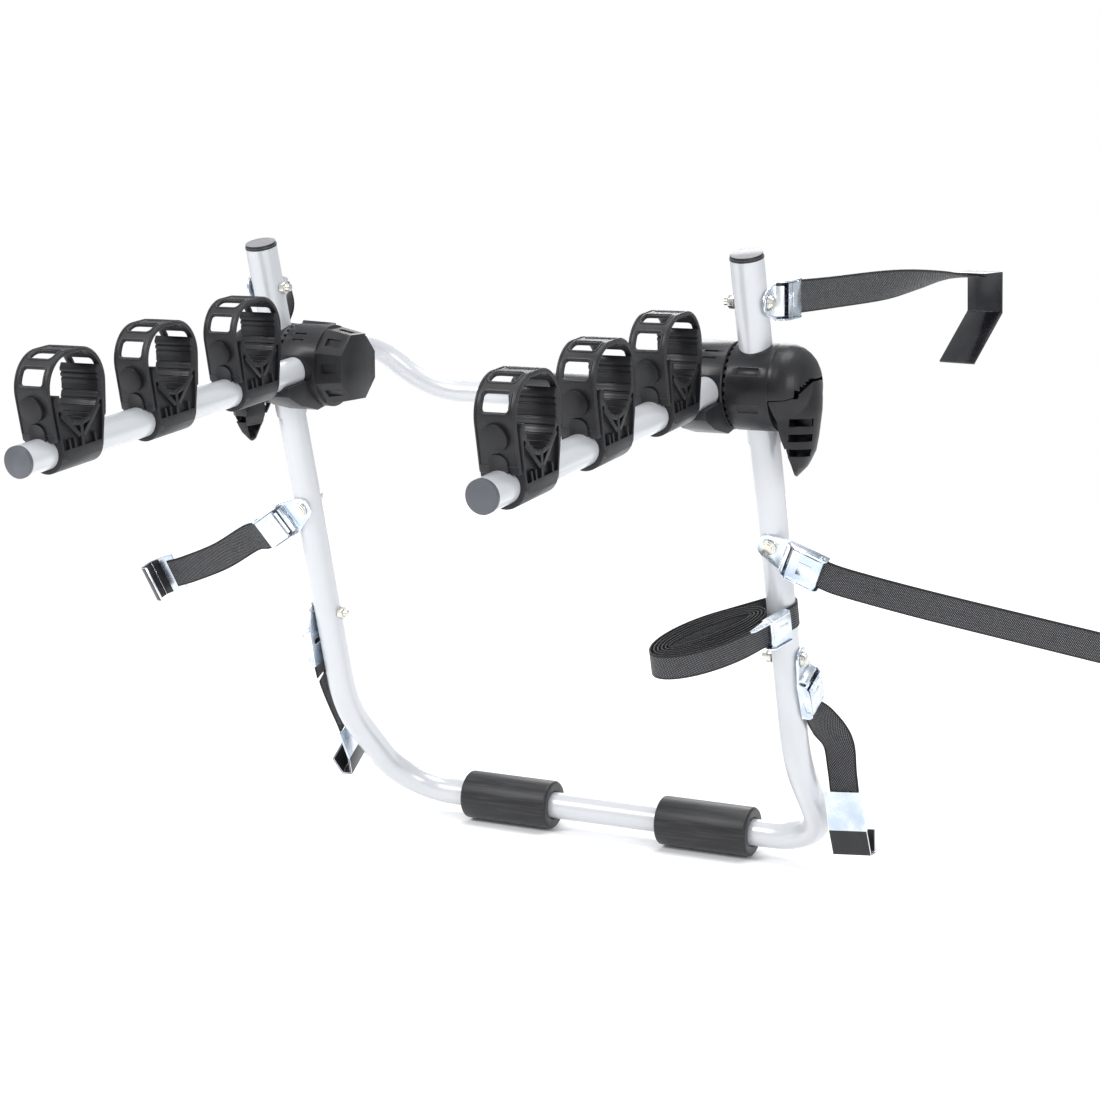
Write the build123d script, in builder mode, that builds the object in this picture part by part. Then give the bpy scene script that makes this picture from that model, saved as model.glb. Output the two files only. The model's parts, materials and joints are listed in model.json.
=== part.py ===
from build123d import *
import math
import os

# Trunk mounted bike rack. +X runs along the crossbar to the right, -Y along the carrying arms
# away from the vehicle, +Z up. The origin is on the hub axis, midway between the two hubs.

os.makedirs("parts", exist_ok=True)

# Tubes
leg_r = 16.0
leg_wall = 1.5
post_r = 17.5
sleeve_fit = 0.05
arm_r = 16.0
arm_wall = 2.0
rear_r = 13.0
rear_wall = 1.5
socket_fit = 0.03

# Lower frame
post_half = 293.0
lean = 16.4
post_top = 139.5
post_foot = -62.0
leg_top = 22.0
kink_drop = -430.0
kink_r = 165.0
bar_inset = 8.0
bar_half = post_half - bar_inset
bar_drop = -558.0
bar_back = 256.0
corner_r = 74.0

# Caps on the posts and the arms
post_cap_thick = 5.0
post_cap_rim = 17.9
post_cap_rim_thick = 2.2
post_cap_top = 17.0
post_cap_plug = 12.0
post_cap_fit = 0.05
cap_thick = 4.0
cap_plug = 14.0

# Foam sleeves on the crossbar
foam_r = 29.5
foam_length = 118.0
foam_centre = 132.0
foam_edge = 3.0
soft_gap = 0.3

# Carrying arms
arm_inset = 43.0
arm_half = post_half - arm_inset
arm_length = 530.0
droop = 5.4

# Hubs, every station along the hub axis following the arms and posts
hub_r = 46.0
hub_edge = 1.2
nose_inset = 58.0
shoulder_inset = 27.0
part_offset = 19.0
shell_gap = 3.0
shell_length = 47.0
hub_inner_end = arm_half - nose_inset
hub_nose_r = 39.5
hub_shoulder = arm_half - shoulder_inset
hub_sides = 8
hub_part = arm_half + part_offset
hub_shell_start = hub_part + shell_gap
hub_shell_end = hub_shell_start + shell_length
tooth_count = 32
tooth_long = 6.0
tooth_wide = 5.2
tooth_ring_r = 42.0
tooth_high = 2.6
tooth_taper = 20.0
socket_start = 13.0
gusset_outline = ((20.0, -8.0), (86.0, -11.0), (86.0, -21.0), (62.0, -35.0), (28.0, -46.0), (10.0, -44.0))
gusset_half = 18.5
recess_depth = 1.6
recess_wide = 24.0
recess_high = 9.0
recess_offset = 3.0
recess_turns = (24.0, -26.0)
slot_wide = 15.0
slot_high = 3.0
slot_turns = (42.0, 54.0)
lug_offset = 15.0
lug_wide = 18.0
lug_high = 11.0
lug_floor = 37.4
lug_turns = (45.0, 0.0, -45.0, 90.0, 135.0, 180.0, 225.0, 270.0)

# End dome of a hub, as distance beyond the hub shell and radius; it is cut along the lever's seam
cheek_outline = ((0.0, 46.0), (12.5, 44.5), (19.0, 42.0), (25.0, 38.0), (30.0, 33.0), (33.7, 27.0), (36.5, 20.0),
                 (38.4, 12.0))
cheek_depth = 39.0
cheek_tip_r = 9.0
cheek_seam = ((-2.0, -10.2), (18.0, -8.8), (25.5, -6.2), (30.3, -1.4), (34.2, 4.4), (38.0, 11.2), (38.3, 17.0),
              (60.0, 17.0), (60.0, -60.0), (-2.0, -60.0))
cheek_pockets = ((17.3, 19.7), (20.2, 18.6), (24.6, 16.6), (28.2, 13.2), (32.0, 10.8), (36.6, 6.2))

# Clamp rod, cross pin and release lever, the lever's outlines measured from the hub shell as well
rod_r = 4.0
rod_fit = 0.06
rod_nut_r = 8.0
rod_nut_thick = 6.0
rod_nut_gap = 0.4
nut_wall = 4.5
rod_eye_r = 7.5
rod_eye_half = 4.7
pivot_offset = 27.0
pivot_z = -5.0
pin_r = 3.0
pin_fit = 0.06
ear_r = 10.6
ear_near = 5.0
ear_far = 13.5
ear_web = ((18.0, -10.0), (36.0, -10.0), (37.6, -20.0), (36.8, -42.0), (23.0, -32.0))
lever_top = ((1.0, -11.0), (18.0, -9.6), (26.0, -7.0), (31.0, -2.2), (35.0, 3.6), (38.0, 8.8), (60.0, 8.8),
             (60.0, -94.0), (17.5, -94.0), (15.4, -77.0), (9.7, -53.0), (6.0, -31.0))
lever_inside = ((-6.0, -14.2), (18.0, -12.8), (27.4, -9.9), (33.4, -4.4), (37.2, 1.0), (60.0, 1.0), (60.0, -90.0),
                (-6.0, -90.0))
lever_face = ((-45.0, 12.0), (45.0, 12.0), (44.0, -14.0), (40.0, -22.0), (36.0, -31.0), (27.0, -53.0), (15.0, -77.0),
              (5.0, -93.0), (-5.0, -93.0), (-15.0, -77.0), (-27.0, -53.0), (-36.0, -31.0), (-40.0, -22.0),
              (-44.0, -14.0))
lever_bow = ((30.6, 12.0), (32.0, 2.0), (32.8, -10.0), (32.7, -22.0), (31.2, -36.0), (29.6, -50.0), (27.2, -64.0), (22.6, -74.0),
             (18.7, -81.0), (12.0, -88.0), (8.0, -92.0))
lever_bow_x = 9.0
lever_wall = 3.0
lever_back = (12.0, 14.5)
lever_back_top = -38.0
lever_slot_turn = 46.5
lever_slot_half = 13.4
lever_slot_high = 8.0
lever_slot_depth = 16.0
lever_slots_z = (-33.0, -49.0, -65.0)
lever_eye_r = 10.6

# Rear bar
rear_leg = 119.0
rear_leg_rise = 22.0
rear_bar_half = 185.0
rear_bar_back = 155.0
rear_bar_drop = -40.0
rear_leg_r = 56.0
rear_bar_r = 98.0
pad_r = 27.0
pad_length = 140.0

# Cradles, placed along the arm by shares of its length
cradle_shares = (0.2623, 0.5613, 0.8604)
cradle_half = 22.0
cradle_fit = 0.05
collar_r = 21.0
collar_half = 32.2
cradle_outline = ((26.0, -8.0), (31.0, -3.0), (33.5, 12.0), (35.8, 30.0), (38.3, 50.0), (38.3, 54.0), (36.0, 57.0),
                  (31.0, 57.0), (-30.0, 57.0), (-29.0, 72.0), (-32.0, 77.0), (-36.0, 74.5), (-39.3, 60.0),
                  (-39.2, 50.0), (-36.6, 24.0), (-33.5, 10.0), (-31.0, -3.0), (-26.0, -8.0))
saddle_r = 30.0
saddle_height = 58.0
rib_r = 1.1
rib_first = 194.0
rib_step = 15.2
rib_count = 11
tongue_ribs = (62.5, 68.0)
tongue_rib_x = -29.8
side_pocket = ((34.0, 42.0), (33.0, 22.0), (29.5, 3.0), (-29.5, 3.0), (-33.0, 22.0), (-34.6, 42.0))
side_pocket_depth = 3.6
seat_rim = 4.6
side_ribs = (((30.0, 38.0), (3.0, 13.0)), ((-30.0, 38.0), (-3.0, 13.0)), ((0.0, 30.0), (0.0, 1.0)))
side_rib_thick = 4.4
fin_xs = (-20.0, 12.0, 20.0)
fin_height = 7.0
fin_long = 11.0
fin_thick = 2.8
fin_turn = -8.0
stud_r = 13.0
stud_neck_r = 8.4
stud_height = 46.0
stud_root = -9.0
stud_seat = 2.3
stud_end = 7.0
back_stud_r = 7.0
back_neck_r = 4.0
back_stud_height = 36.0
back_stud_end = 5.2

# Rubber straps over the cradles, their two sides leaning outwards to the top
band_thick = 4.0
band_front_reach = 36.5
band_back_reach = 39.5
band_top_reach = 47.5
band_top = 95.0
band_corner_r = 34.0
band_front_foot = 12.0
band_back_foot = 24.0
band_half = 20.5
band_hole_gap = 0.4
foot_gap = 0.6
window_half = 13.0
window_half_high = 8.5
window_height = 60.0
window_turns = (22.0, 62.0, 118.0, 158.0)
window_near = 25.0
window_far = 62.0
latch_r = 9.5
latch_height = 21.8
latch_foot = 9.0
latch_proud = 4.6
latch_slit_half = 7.0
latch_slit_low = 14.6
latch_slit_high = 16.6

# Bolts through the tubes
bolt_r = 4.0
bolt_fit = 0.06
head_r = 8.5
head_crown_r = 5.5
head_thick = 5.0
head_rim = 2.2
head_shoulder_r = 7.4
head_shoulder = 3.8
nut_r = 7.5
nut_sides = 6
nut_thick = 6.5
bolt_tail = 5.0
top_bolt_up = 92.0
side_bolt_up = -176.0
low_bolt_up = -318.0
plate_gap = 0.5
face_gap = 0.3

# Cam buckles
plate_thick = 2.0
plate_eye_r = 14.0
buckle_half = 20.5
buckle_shoulder = 22.0
buckle_length = 66.0
buckle_ear = ((20.0, 0.0), (23.0, 9.0), (31.0, 13.0), (63.0, 13.0), (66.0, 9.0), (66.0, 0.0))
buckle_bar = ((17.0, 0.0), (18.5, 7.5), (20.5, 9.6), (23.5, 9.6), (25.5, 7.5), (27.0, 0.0))
buckle_bar_half = 15.5
buckle_window_near = 33.0
buckle_window_far = 40.0
buckle_window_half = 14.0
web_exit = 68.0
cam_x = 59.0
cam_z = 9.0
cam_r = 4.2
cam_side_gap = 0.4
cam_pin_r = 2.5
cam_pin_fit = 0.06
cam_pin_proud = 0.8
cam_plate = ((30.0, 11.8), (57.0, 11.8), (61.0, 10.4), (61.0, 13.2), (30.0, 13.2))
cam_plate_half = 17.6
cam_lip = ((28.4, 11.8), (30.6, 11.8), (30.6, 15.4), (28.4, 15.4))
cam_square = 15.0
cam_square_x = 46.0
cam_square_high = 0.8
cam_plate_top = 13.0

# Webbing
web_width = 35.0
web_thick = 1.8
web_lift = 0.5
web_start = 42.0

# Directions of the buckles, degrees, and the free run of each strap beyond its buckle:
# points (first number outward from the leg), width directions, hook outline, and the hook's face
top_right_turn = 2.0
top_left_turn = -12.0
side_right_turn = -24.0
side_left_turn = 213.0
low_right_turn = -66.0
low_left_turn = -76.0
web_steps = 3
hook_half = 23.0
lid_hook = ((-14.0, 0.0), (24.0, 0.0), (26.0, -46.0), (-34.0, -101.0))
side_hook = ((-10.0, 0.0), (12.0, 0.0), (22.0, -4.0), (24.0, -20.0), (12.0, -27.0))
low_hook = ((-14.0, 0.0), (32.0, 0.0), (62.0, -5.0), (64.0, -18.0), (38.0, -24.0))
runs = {
    "top_right": (((34.0, 98.0, 91.5), (57.0, 206.0, 94.0), (79.0, 306.0, 96.0), (98.0, 380.0, 96.8),
                   (103.5, 402.0, 97.0)),
                  ((0.15, 0.0, 1.0), (0.25, 0.0, 1.0), (0.75, -0.15, 0.6), (0.98, -0.2, 0.0), (0.98, -0.2, 0.0)),
                  lid_hook, 1),
    "top_left": (((37.0, 62.0, 68.0), (57.0, 78.0, 50.0), (64.0, 84.0, 20.0), (65.0, 85.0, -5.0)),
                 ((-0.6, 0.1, -0.8), (-1.0, 0.0, -0.2), (-1.0, 0.0, 0.0), (-1.0, 0.0, 0.0)), lid_hook, 1),
    "side_right": (((88.0, 44.0, -209.0), (167.0, 48.0, -224.0), (287.0, 54.0, -244.0), (391.0, 59.0, -261.0)),
                   ((0.1, -0.28, 0.95), (0.1, -0.28, 0.95), (0.1, -0.28, 0.95), (0.1, -0.28, 0.95)), side_hook, 1),
    "side_left": (((79.0, 47.0, -215.0), (128.0, 55.0, -242.0), (177.0, 59.0, -262.0), (205.0, 61.0, -271.0)),
                  ((0.3, 0.28, -0.95), (0.3, 0.28, -0.95), (0.25, 0.28, -0.95), (0.2, 0.28, -0.95)), side_hook, 1),
    "low_right": (((26.0, 138.0, -384.0), (36.0, 160.0, -411.0), (39.0, 170.0, -446.0), (45.0, 174.0, -484.0)),
                  ((0.5, 0.7, 0.4), (0.95, 0.3, 0.1), (1.0, 0.0, 0.0), (1.0, 0.0, 0.0)), low_hook, -1),
    "low_left": (((22.0, 122.0, -396.0), (24.0, 142.0, -424.0), (27.0, 162.0, -450.0), (30.0, 176.0, -470.0)),
                 ((0.0, 0.85, 0.5), (0.0, 0.8, 0.6), (0.0, 0.8, 0.6), (0.0, 0.8, 0.6)), low_hook, -1),
}

# Tie strap and its buckle
tie_width = 28.0
tie_thick = 1.8
tie_pitch = 4.4
tie_turns = 5
tie_up = -263.0
tie_slack = 0.4
tie_heading = (-0.532, -0.821, -0.206)
tie_end = 16.0
tie_skip_count = 14
coil_centre = 92.5
coil_long = 49.6
coil_wide = 8.1
coil_step = 0.26
loop_steps = 14
end_steps = 4
tiny_share = 0.002
tie_plate_gap = 0.5
small_half = 17.0
small_thick = 1.5
small_near = 15.0
small_far = 50.0
small_ear = ((15.0, 0.0), (15.0, 9.0), (19.0, 12.5), (46.0, 12.5), (50.0, 6.0), (50.0, 0.0))
small_flange = ((15.0, 0.0), (15.0, 9.0), (19.0, 12.5), (72.0, 12.5), (76.0, 10.0), (76.0, 7.0), (50.0, 3.0),
                (50.0, 0.0))
small_cam_x = 42.0
small_cam_z = 7.6
small_cam_r = 3.6
small_cam_half = 15.0
small_cam_plate = ((17.0, 9.8), (42.0, 9.8), (44.0, 8.8), (44.0, 11.2), (17.0, 11.2))
small_square = ((22.0, -6.0), (34.0, -6.0), (34.0, 6.0), (22.0, 6.0))
small_square_low = 11.0
small_square_top = 12.0

# Hooks
hook_thick = 2.5
hook_gap = 0.4
reach = 60.0

lean_sin = math.sin(math.radians(lean))
lean_cos = math.cos(math.radians(lean))
arm_back = Vector(0, math.cos(math.radians(droop)), math.sin(math.radians(droop)))
arm_up = Vector(0, -math.sin(math.radians(droop)), math.cos(math.radians(droop)))
leg_up = Vector(0, -lean_sin, lean_cos)
leg_front = Vector(0, -lean_cos, -lean_sin)
x_axis = Vector(1, 0, 0)
y_axis = Vector(0, 1, 0)
z_axis = Vector(0, 0, 1)
pivot_x = hub_shell_end + pivot_offset
cheek_end = hub_shell_end + cheek_depth
middle = Vector(0, 0, 0)
names = {-1: "left", 1: "right"}
half_share = 0.5


def save(shape, label):
    shape.label = label
    export_step(shape, "parts/" + label + ".step")
    return shape


def leg_point(side, up):
    return Vector(side * post_half, 0, 0) + leg_up * up


def arm_point(side, along):
    return Vector(side * arm_half, 0, 0) - arm_back * along


def leg_half(height):
    # the legs run parallel down to the kink, then draw in to the crossbar
    share = (kink_drop - height) / (kink_drop - bar_drop)
    return post_half + (bar_half - post_half) * min(max(share, 0), 1)


def arm_plane(side, along):
    # first direction out along the arm, second direction up, so the plane faces -X
    return Plane(origin=arm_point(side, along), x_dir=-arm_back, z_dir=-x_axis)


def rod(point, direction, radius, start, stop, mode=Mode.ADD):
    with BuildSketch(Plane(origin=point + direction * start, z_dir=direction)) as disc:
        Circle(radius)
    extrude(disc.sketch, amount=stop - start, mode=mode)


def block(plane, outline, start, stop, mode=Mode.ADD):
    turn = sum(a[0] * b[1] - b[0] * a[1] for a, b in zip(outline, outline[1:] + outline[:1]))
    points = outline if turn > 0 else outline[::-1]
    with BuildSketch(plane.offset(start)) as face:
        Polygon(*points, align=None)
    extrude(face.sketch, amount=stop - start, mode=mode)


def box_outline(near, far, low, high):
    return ((near, low), (far, low), (far, high), (near, high))


def turned(outline, side, mode=Mode.ADD):
    points = tuple((side * x, radius) for x, radius in outline)
    with BuildSketch(Plane.XY) as face:
        Polygon(*points, align=None)
    revolve(face.sketch, axis=Axis.X, mode=mode)


def bent_line(points, radii):
    with BuildLine() as path:
        start = points[0]
        for corner, radius, follow in zip(points[1:-1], radii, points[2:]):
            back = (start - corner).normalized()
            ahead = (follow - corner).normalized()
            half_angle = math.acos(back.dot(ahead)) * half_share
            inward = (back + ahead).normalized()
            first = corner + back * (radius / math.tan(half_angle))
            last = corner + ahead * (radius / math.tan(half_angle))
            middle_point = corner + inward * (radius / math.sin(half_angle) - radius)
            Line(start, first)
            ThreePointArc(first, middle_point, last)
            start = last
        Line(start, points[-1])
    return path.wire()


def bent_tube(path, outer, wall):
    with BuildSketch(Plane(origin=path @ 0, z_dir=path % 0)) as ring:
        Circle(outer)
        Circle(outer - wall, mode=Mode.SUBTRACT)
    sweep(ring.sketch, path=path)


def ribbon(points, across, width, thick):
    # ruled strip through one flat rectangle at each point, turned to its own width direction
    sections = []
    for index, point in enumerate(points):
        before = points[max(index - 1, 0)]
        after = points[min(index + 1, len(points) - 1)]
        ahead = (after - before).normalized()
        wide = (across[index] - ahead * across[index].dot(ahead)).normalized()
        with BuildSketch(Plane(origin=point, x_dir=wide, z_dir=ahead)) as flat:
            Rectangle(width, thick)
        sections.append(flat.sketch.face())
    loft(sections, ruled=True)


def thick_outline(points, thick):
    # the two edges of a folded strip, mitred at each fold
    edges = []
    for index, (x, z) in enumerate(points):
        x0, z0 = points[max(index - 1, 0)]
        x1, z1 = points[min(index + 1, len(points) - 1)]
        first = (x - x0, z - z0) if index else (x1 - x, z1 - z)
        last = (x1 - x, z1 - z) if index < len(points) - 1 else first
        a = math.atan2(first[1], first[0])
        b = math.atan2(last[1], last[0])
        turn = math.remainder(b - a, 2 * math.pi)
        out = a + turn * half_share + math.pi * half_share
        size = thick * half_share / math.cos(turn * half_share)
        edges.append((x + math.cos(out) * size, z + math.sin(out) * size))
    back = []
    for (x, z), (ex, ez) in zip(points, edges):
        back.append((2 * x - ex, 2 * z - ez))
    return tuple(edges) + tuple(back[::-1])


# Lower frame, one bent tube from hub to hub
corners = [leg_point(-1, leg_top), leg_point(-1, kink_drop / lean_cos), Vector(-bar_half, bar_back, bar_drop),
           Vector(bar_half, bar_back, bar_drop), leg_point(1, kink_drop / lean_cos), leg_point(1, leg_top)]
frame_line = bent_line(corners, (kink_r, corner_r, corner_r, kink_r))
with BuildPart() as frame:
    bent_tube(frame_line, leg_r, leg_wall)
    for side in names:
        rod(leg_point(side, 0), x_axis, rod_r + rod_fit, -reach, reach, Mode.SUBTRACT)
        rod(leg_point(side, low_bolt_up), x_axis, bolt_r + bolt_fit, -reach, reach, Mode.SUBTRACT)
        rod(leg_point(side, side_bolt_up), leg_front, bolt_r + bolt_fit, -reach, reach, Mode.SUBTRACT)
save(frame.part, "lower_frame")

for side in names:
    with BuildPart() as post:
        rod(leg_point(side, 0), leg_up, post_r, post_foot, post_top)
        rod(leg_point(side, 0), leg_up, leg_r + sleeve_fit, post_foot, post_top, Mode.SUBTRACT)
        rod(leg_point(side, 0), x_axis, rod_r + rod_fit, -reach, reach, Mode.SUBTRACT)
        rod(leg_point(side, top_bolt_up), x_axis, bolt_r + bolt_fit, -reach, reach, Mode.SUBTRACT)
    save(post.part, "post_" + names[side])

with BuildPart() as post_caps:
    for side in names:
        rod(leg_point(side, post_top), leg_up, post_cap_rim, 0, post_cap_rim_thick)
        rod(leg_point(side, post_top), leg_up, post_cap_top, 0, post_cap_thick)
        rod(leg_point(side, post_top), leg_up, leg_r - post_cap_fit, -post_cap_plug, 0)
save(post_caps.part, "post_caps")

with BuildPart() as foam:
    for side in names:
        centre = Vector(side * foam_centre, bar_back, bar_drop)
        rod(centre, x_axis, foam_r, -foam_length * half_share, foam_length * half_share)
    fillet(foam.edges().filter_by(GeomType.CIRCLE), foam_edge)
    rod(Vector(0, bar_back, bar_drop), x_axis, leg_r + soft_gap, -bar_half, bar_half, Mode.SUBTRACT)
save(foam.part, "foam_sleeves")


# Hubs
def mark(x, turn, wide, high, floor_r):
    out = Vector(0, -math.cos(math.radians(turn)), math.sin(math.radians(turn)))
    with BuildSketch(Plane(origin=x_axis * x + out * floor_r, x_dir=x_axis, z_dir=out)) as face:
        Rectangle(wide, high)
    extrude(face.sketch, amount=reach, mode=Mode.SUBTRACT)


def beyond(outline, side):
    return tuple((side * (hub_shell_end + x), z) for x, z in outline)


barrel_in = ((hub_shoulder, 0.0), (hub_shoulder, hub_r), (hub_part - hub_edge, hub_r),
             (hub_part, hub_r - hub_edge), (hub_part, 0.0))
barrel_out = ((hub_shell_start, 0.0), (hub_shell_start, hub_r - hub_edge), (hub_shell_start + hub_edge, hub_r),
              (hub_shell_end, hub_r), (hub_shell_end, 0.0))
front_plane = Plane(origin=middle, x_dir=x_axis, z_dir=-y_axis)
nut_start = hub_inner_end + nut_wall


def dome(side, wall, mode=Mode.ADD):
    # the hub's rounded end, or the same shape drawn in by a wall
    points = [(hub_shell_end + x - wall, radius - wall) for x, radius in cheek_outline]
    end = cheek_end - wall
    turned(((hub_shell_end - reach, 0.0), (hub_shell_end - reach, hub_r - wall)) + tuple(points)
           + ((end, cheek_tip_r), (end, 0.0)), side, mode)


def lever_body(side, wall, outline):
    # the hub's rounded end joined to an upright bowed tongue, kept inside the lever's two outlines
    points = tuple((radius - wall, z) for radius, z in lever_bow)
    centre = x_axis * side * (hub_shell_end + lever_bow_x)
    with BuildPart() as body:
        dome(side, wall)
        with BuildSketch(Plane(origin=centre, x_dir=x_axis, z_dir=-y_axis)) as face:
            Polygon((0, lever_bow[0][1]), *points, (0, lever_bow[-1][1] + wall), align=None)
        revolve(face.sketch, axis=Axis(centre, z_axis))
        block(front_plane, beyond(outline, side), -reach, reach, Mode.INTERSECT)
        side_plane = Plane(origin=x_axis * side * hub_shell_end, x_dir=y_axis, z_dir=x_axis)
        narrow = tuple((y - math.copysign(wall, y), z) for y, z in lever_face)
        block(side_plane, narrow, -2 * reach, 2 * reach, Mode.INTERSECT)
    return body.part


for side in names:
    label = names[side]
    outward = x_axis * side
    with BuildPart() as inner:
        turned(barrel_in, side)
        with BuildSketch(Plane(origin=outward * hub_inner_end, x_dir=y_axis, z_dir=outward)) as nose:
            RegularPolygon(hub_nose_r, hub_sides, rotation=180 / hub_sides)
        with BuildSketch(Plane(origin=outward * hub_shoulder, x_dir=y_axis, z_dir=outward)) as shoulder:
            RegularPolygon(hub_r, hub_sides, rotation=180 / hub_sides)
        loft()
        block(arm_plane(side, 0), gusset_outline, -gusset_half, gusset_half)
        rod(arm_point(side, 0), -arm_back, arm_r + socket_fit, socket_start, arm_length, Mode.SUBTRACT)
        rear_out = Vector(0, rear_leg, rear_leg_rise).normalized()
        rod(Vector(side * arm_half, 0, 0), rear_out, rear_r + socket_fit, socket_start, arm_length, Mode.SUBTRACT)
        rod(middle, outward, rod_r + rod_fit, nut_start, cheek_end, Mode.SUBTRACT)
        rod(middle, outward, rod_nut_r + rod_nut_gap, nut_start, nut_start + rod_nut_thick + 2 * rod_nut_gap,
            Mode.SUBTRACT)
        for turn in slot_turns:
            mark(side * arm_half, turn, slot_wide, slot_high, hub_r - recess_depth)
        for turn in lug_turns:
            mark(side * (hub_inner_end + lug_offset), turn, lug_wide, lug_high, lug_floor)
    save(inner.part, "hub_inner_" + label)

    with BuildPart() as outer:
        turned(barrel_out, side)
        with BuildSketch(Plane(origin=outward * hub_shell_start, x_dir=y_axis, z_dir=-outward)) as teeth:
            with PolarLocations(tooth_ring_r, tooth_count):
                Rectangle(tooth_long, tooth_wide)
        extrude(amount=tooth_high, taper=tooth_taper)
        rod(leg_point(side, 0), leg_up, post_r + socket_fit, -reach, reach, Mode.SUBTRACT)
        rod(middle, outward, rod_r + rod_fit, 0, cheek_end, Mode.SUBTRACT)
        for turn in recess_turns:
            mark(side * (post_half + recess_offset), turn, recess_wide, recess_high, hub_r - recess_depth)
    save(outer.part, "hub_outer_" + label)

    pivot = Vector(side * pivot_x, 0, pivot_z)
    with BuildPart() as cheek:
        dome(side, 0)
        inboard = box_outline(side * (hub_shell_end - 2 * reach), side * hub_shell_end, -reach, reach)
        block(front_plane, inboard, -reach, reach, Mode.SUBTRACT)
        block(front_plane, beyond(cheek_seam, side), -reach, reach, Mode.SUBTRACT)
        for half, radius in cheek_pockets:
            rod(pivot, y_axis, radius, -half, half, Mode.SUBTRACT)
        rod(middle, outward, rod_r + rod_fit, 0, cheek_end, Mode.SUBTRACT)
    save(cheek.part, "hub_cheek_" + label)

    hollow = lever_body(side, lever_wall, lever_inside)
    with BuildPart() as lever:
        add(lever_body(side, 0, lever_top))
        add(hollow, mode=Mode.SUBTRACT)
        with BuildPart(mode=Mode.PRIVATE) as back:
            wall = box_outline(*lever_back, lever_bow[-1][1], lever_back_top)
            block(front_plane, beyond(wall, side), -reach, reach)
            add(lever_body(side, 0, lever_top), mode=Mode.INTERSECT)
        add(back.part)
        rod(pivot, y_axis, lever_eye_r, -ear_near, ear_near, Mode.SUBTRACT)
        for end in names:
            turn = math.radians(lever_slot_turn)
            out = Vector(side * math.cos(turn), end * math.sin(turn), 0)
            for z in lever_slots_z:
                spot = Vector(side * (hub_shell_end + lever_bow_x), 0, z) + out * lever_slot_depth
                with BuildSketch(Plane(origin=spot, x_dir=z_axis.cross(out), z_dir=out)) as slot:
                    Rectangle(2 * lever_slot_half, lever_slot_high)
                extrude(slot.sketch, amount=reach, mode=Mode.SUBTRACT)
            near, far = sorted((end * ear_near, end * ear_far))
            block(front_plane, beyond(ear_web, side), near, far)
            rod(pivot, y_axis, ear_r, near, far)
        rod(pivot, y_axis, pin_r + pin_fit, -reach, reach, Mode.SUBTRACT)
    save(lever.part, "hub_lever_" + label)

with BuildPart() as rods:
    for side in names:
        outward = x_axis * side
        pivot = Vector(side * pivot_x, 0, pivot_z)
        rod(middle, outward, rod_r, nut_start + rod_nut_gap, pivot_x)
        rod(middle, outward, rod_nut_r, nut_start + rod_nut_gap, nut_start + rod_nut_gap + rod_nut_thick)
        rod(pivot, y_axis, rod_eye_r, -rod_eye_half, rod_eye_half)
        rod(pivot, y_axis, pin_r, -ear_far, ear_far)
save(rods.part, "hub_clamp_rods")

# Carrying arms, their caps, the rear bar and its pad
for side in names:
    with BuildPart() as arm:
        rod(arm_point(side, 0), -arm_back, arm_r, socket_start, arm_length - cap_thick)
        rod(arm_point(side, 0), -arm_back, arm_r - arm_wall, socket_start, arm_length, Mode.SUBTRACT)
    save(arm.part, "arm_" + names[side])

with BuildPart() as arm_caps:
    for side in names:
        rod(arm_point(side, 0), -arm_back, arm_r, arm_length - cap_thick, arm_length)
        rod(arm_point(side, 0), -arm_back, arm_r - arm_wall, arm_length - cap_thick - cap_plug,
            arm_length - cap_thick)
save(arm_caps.part, "arm_caps")

rear_out = Vector(0, rear_leg, rear_leg_rise).normalized()
rear_points = [Vector(-arm_half, 0, 0) + rear_out * socket_start, Vector(-arm_half, rear_leg, rear_leg_rise),
               Vector(-rear_bar_half, rear_bar_back, rear_bar_drop), Vector(rear_bar_half, rear_bar_back, rear_bar_drop),
               Vector(arm_half, rear_leg, rear_leg_rise), Vector(arm_half, 0, 0) + rear_out * socket_start]
with BuildPart() as rear:
    bent_tube(bent_line(rear_points, (rear_leg_r, rear_bar_r, rear_bar_r, rear_leg_r)), rear_r, rear_wall)
save(rear.part, "rear_bar")

with BuildPart() as pad:
    centre = Vector(0, rear_bar_back, rear_bar_drop)
    rod(centre, x_axis, pad_r, -pad_length * half_share, pad_length * half_share)
    fillet(pad.edges().filter_by(GeomType.CIRCLE), foam_edge)
    rod(centre, x_axis, rear_r + soft_gap, -pad_length, pad_length, Mode.SUBTRACT)
save(pad.part, "rear_pad")


# Cradles and their rubber straps
def band_lean(reach_low, foot):
    return math.atan((band_top_reach - reach_low) / (band_top - foot))


def band_spot(side, along, end, height):
    # point on the middle line of the rubber strap, and the direction out of it; end 1 is the front
    reach_low, foot = (band_front_reach, band_front_foot) if end > 0 else (band_back_reach, band_back_foot)
    slope = band_lean(reach_low, foot)
    across = reach_low + (height - foot) * math.tan(slope)
    spot = arm_point(side, along) - arm_back * end * across + arm_up * height
    out = -arm_back * end * math.cos(slope) - arm_up * math.sin(slope)
    return spot, out


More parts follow.
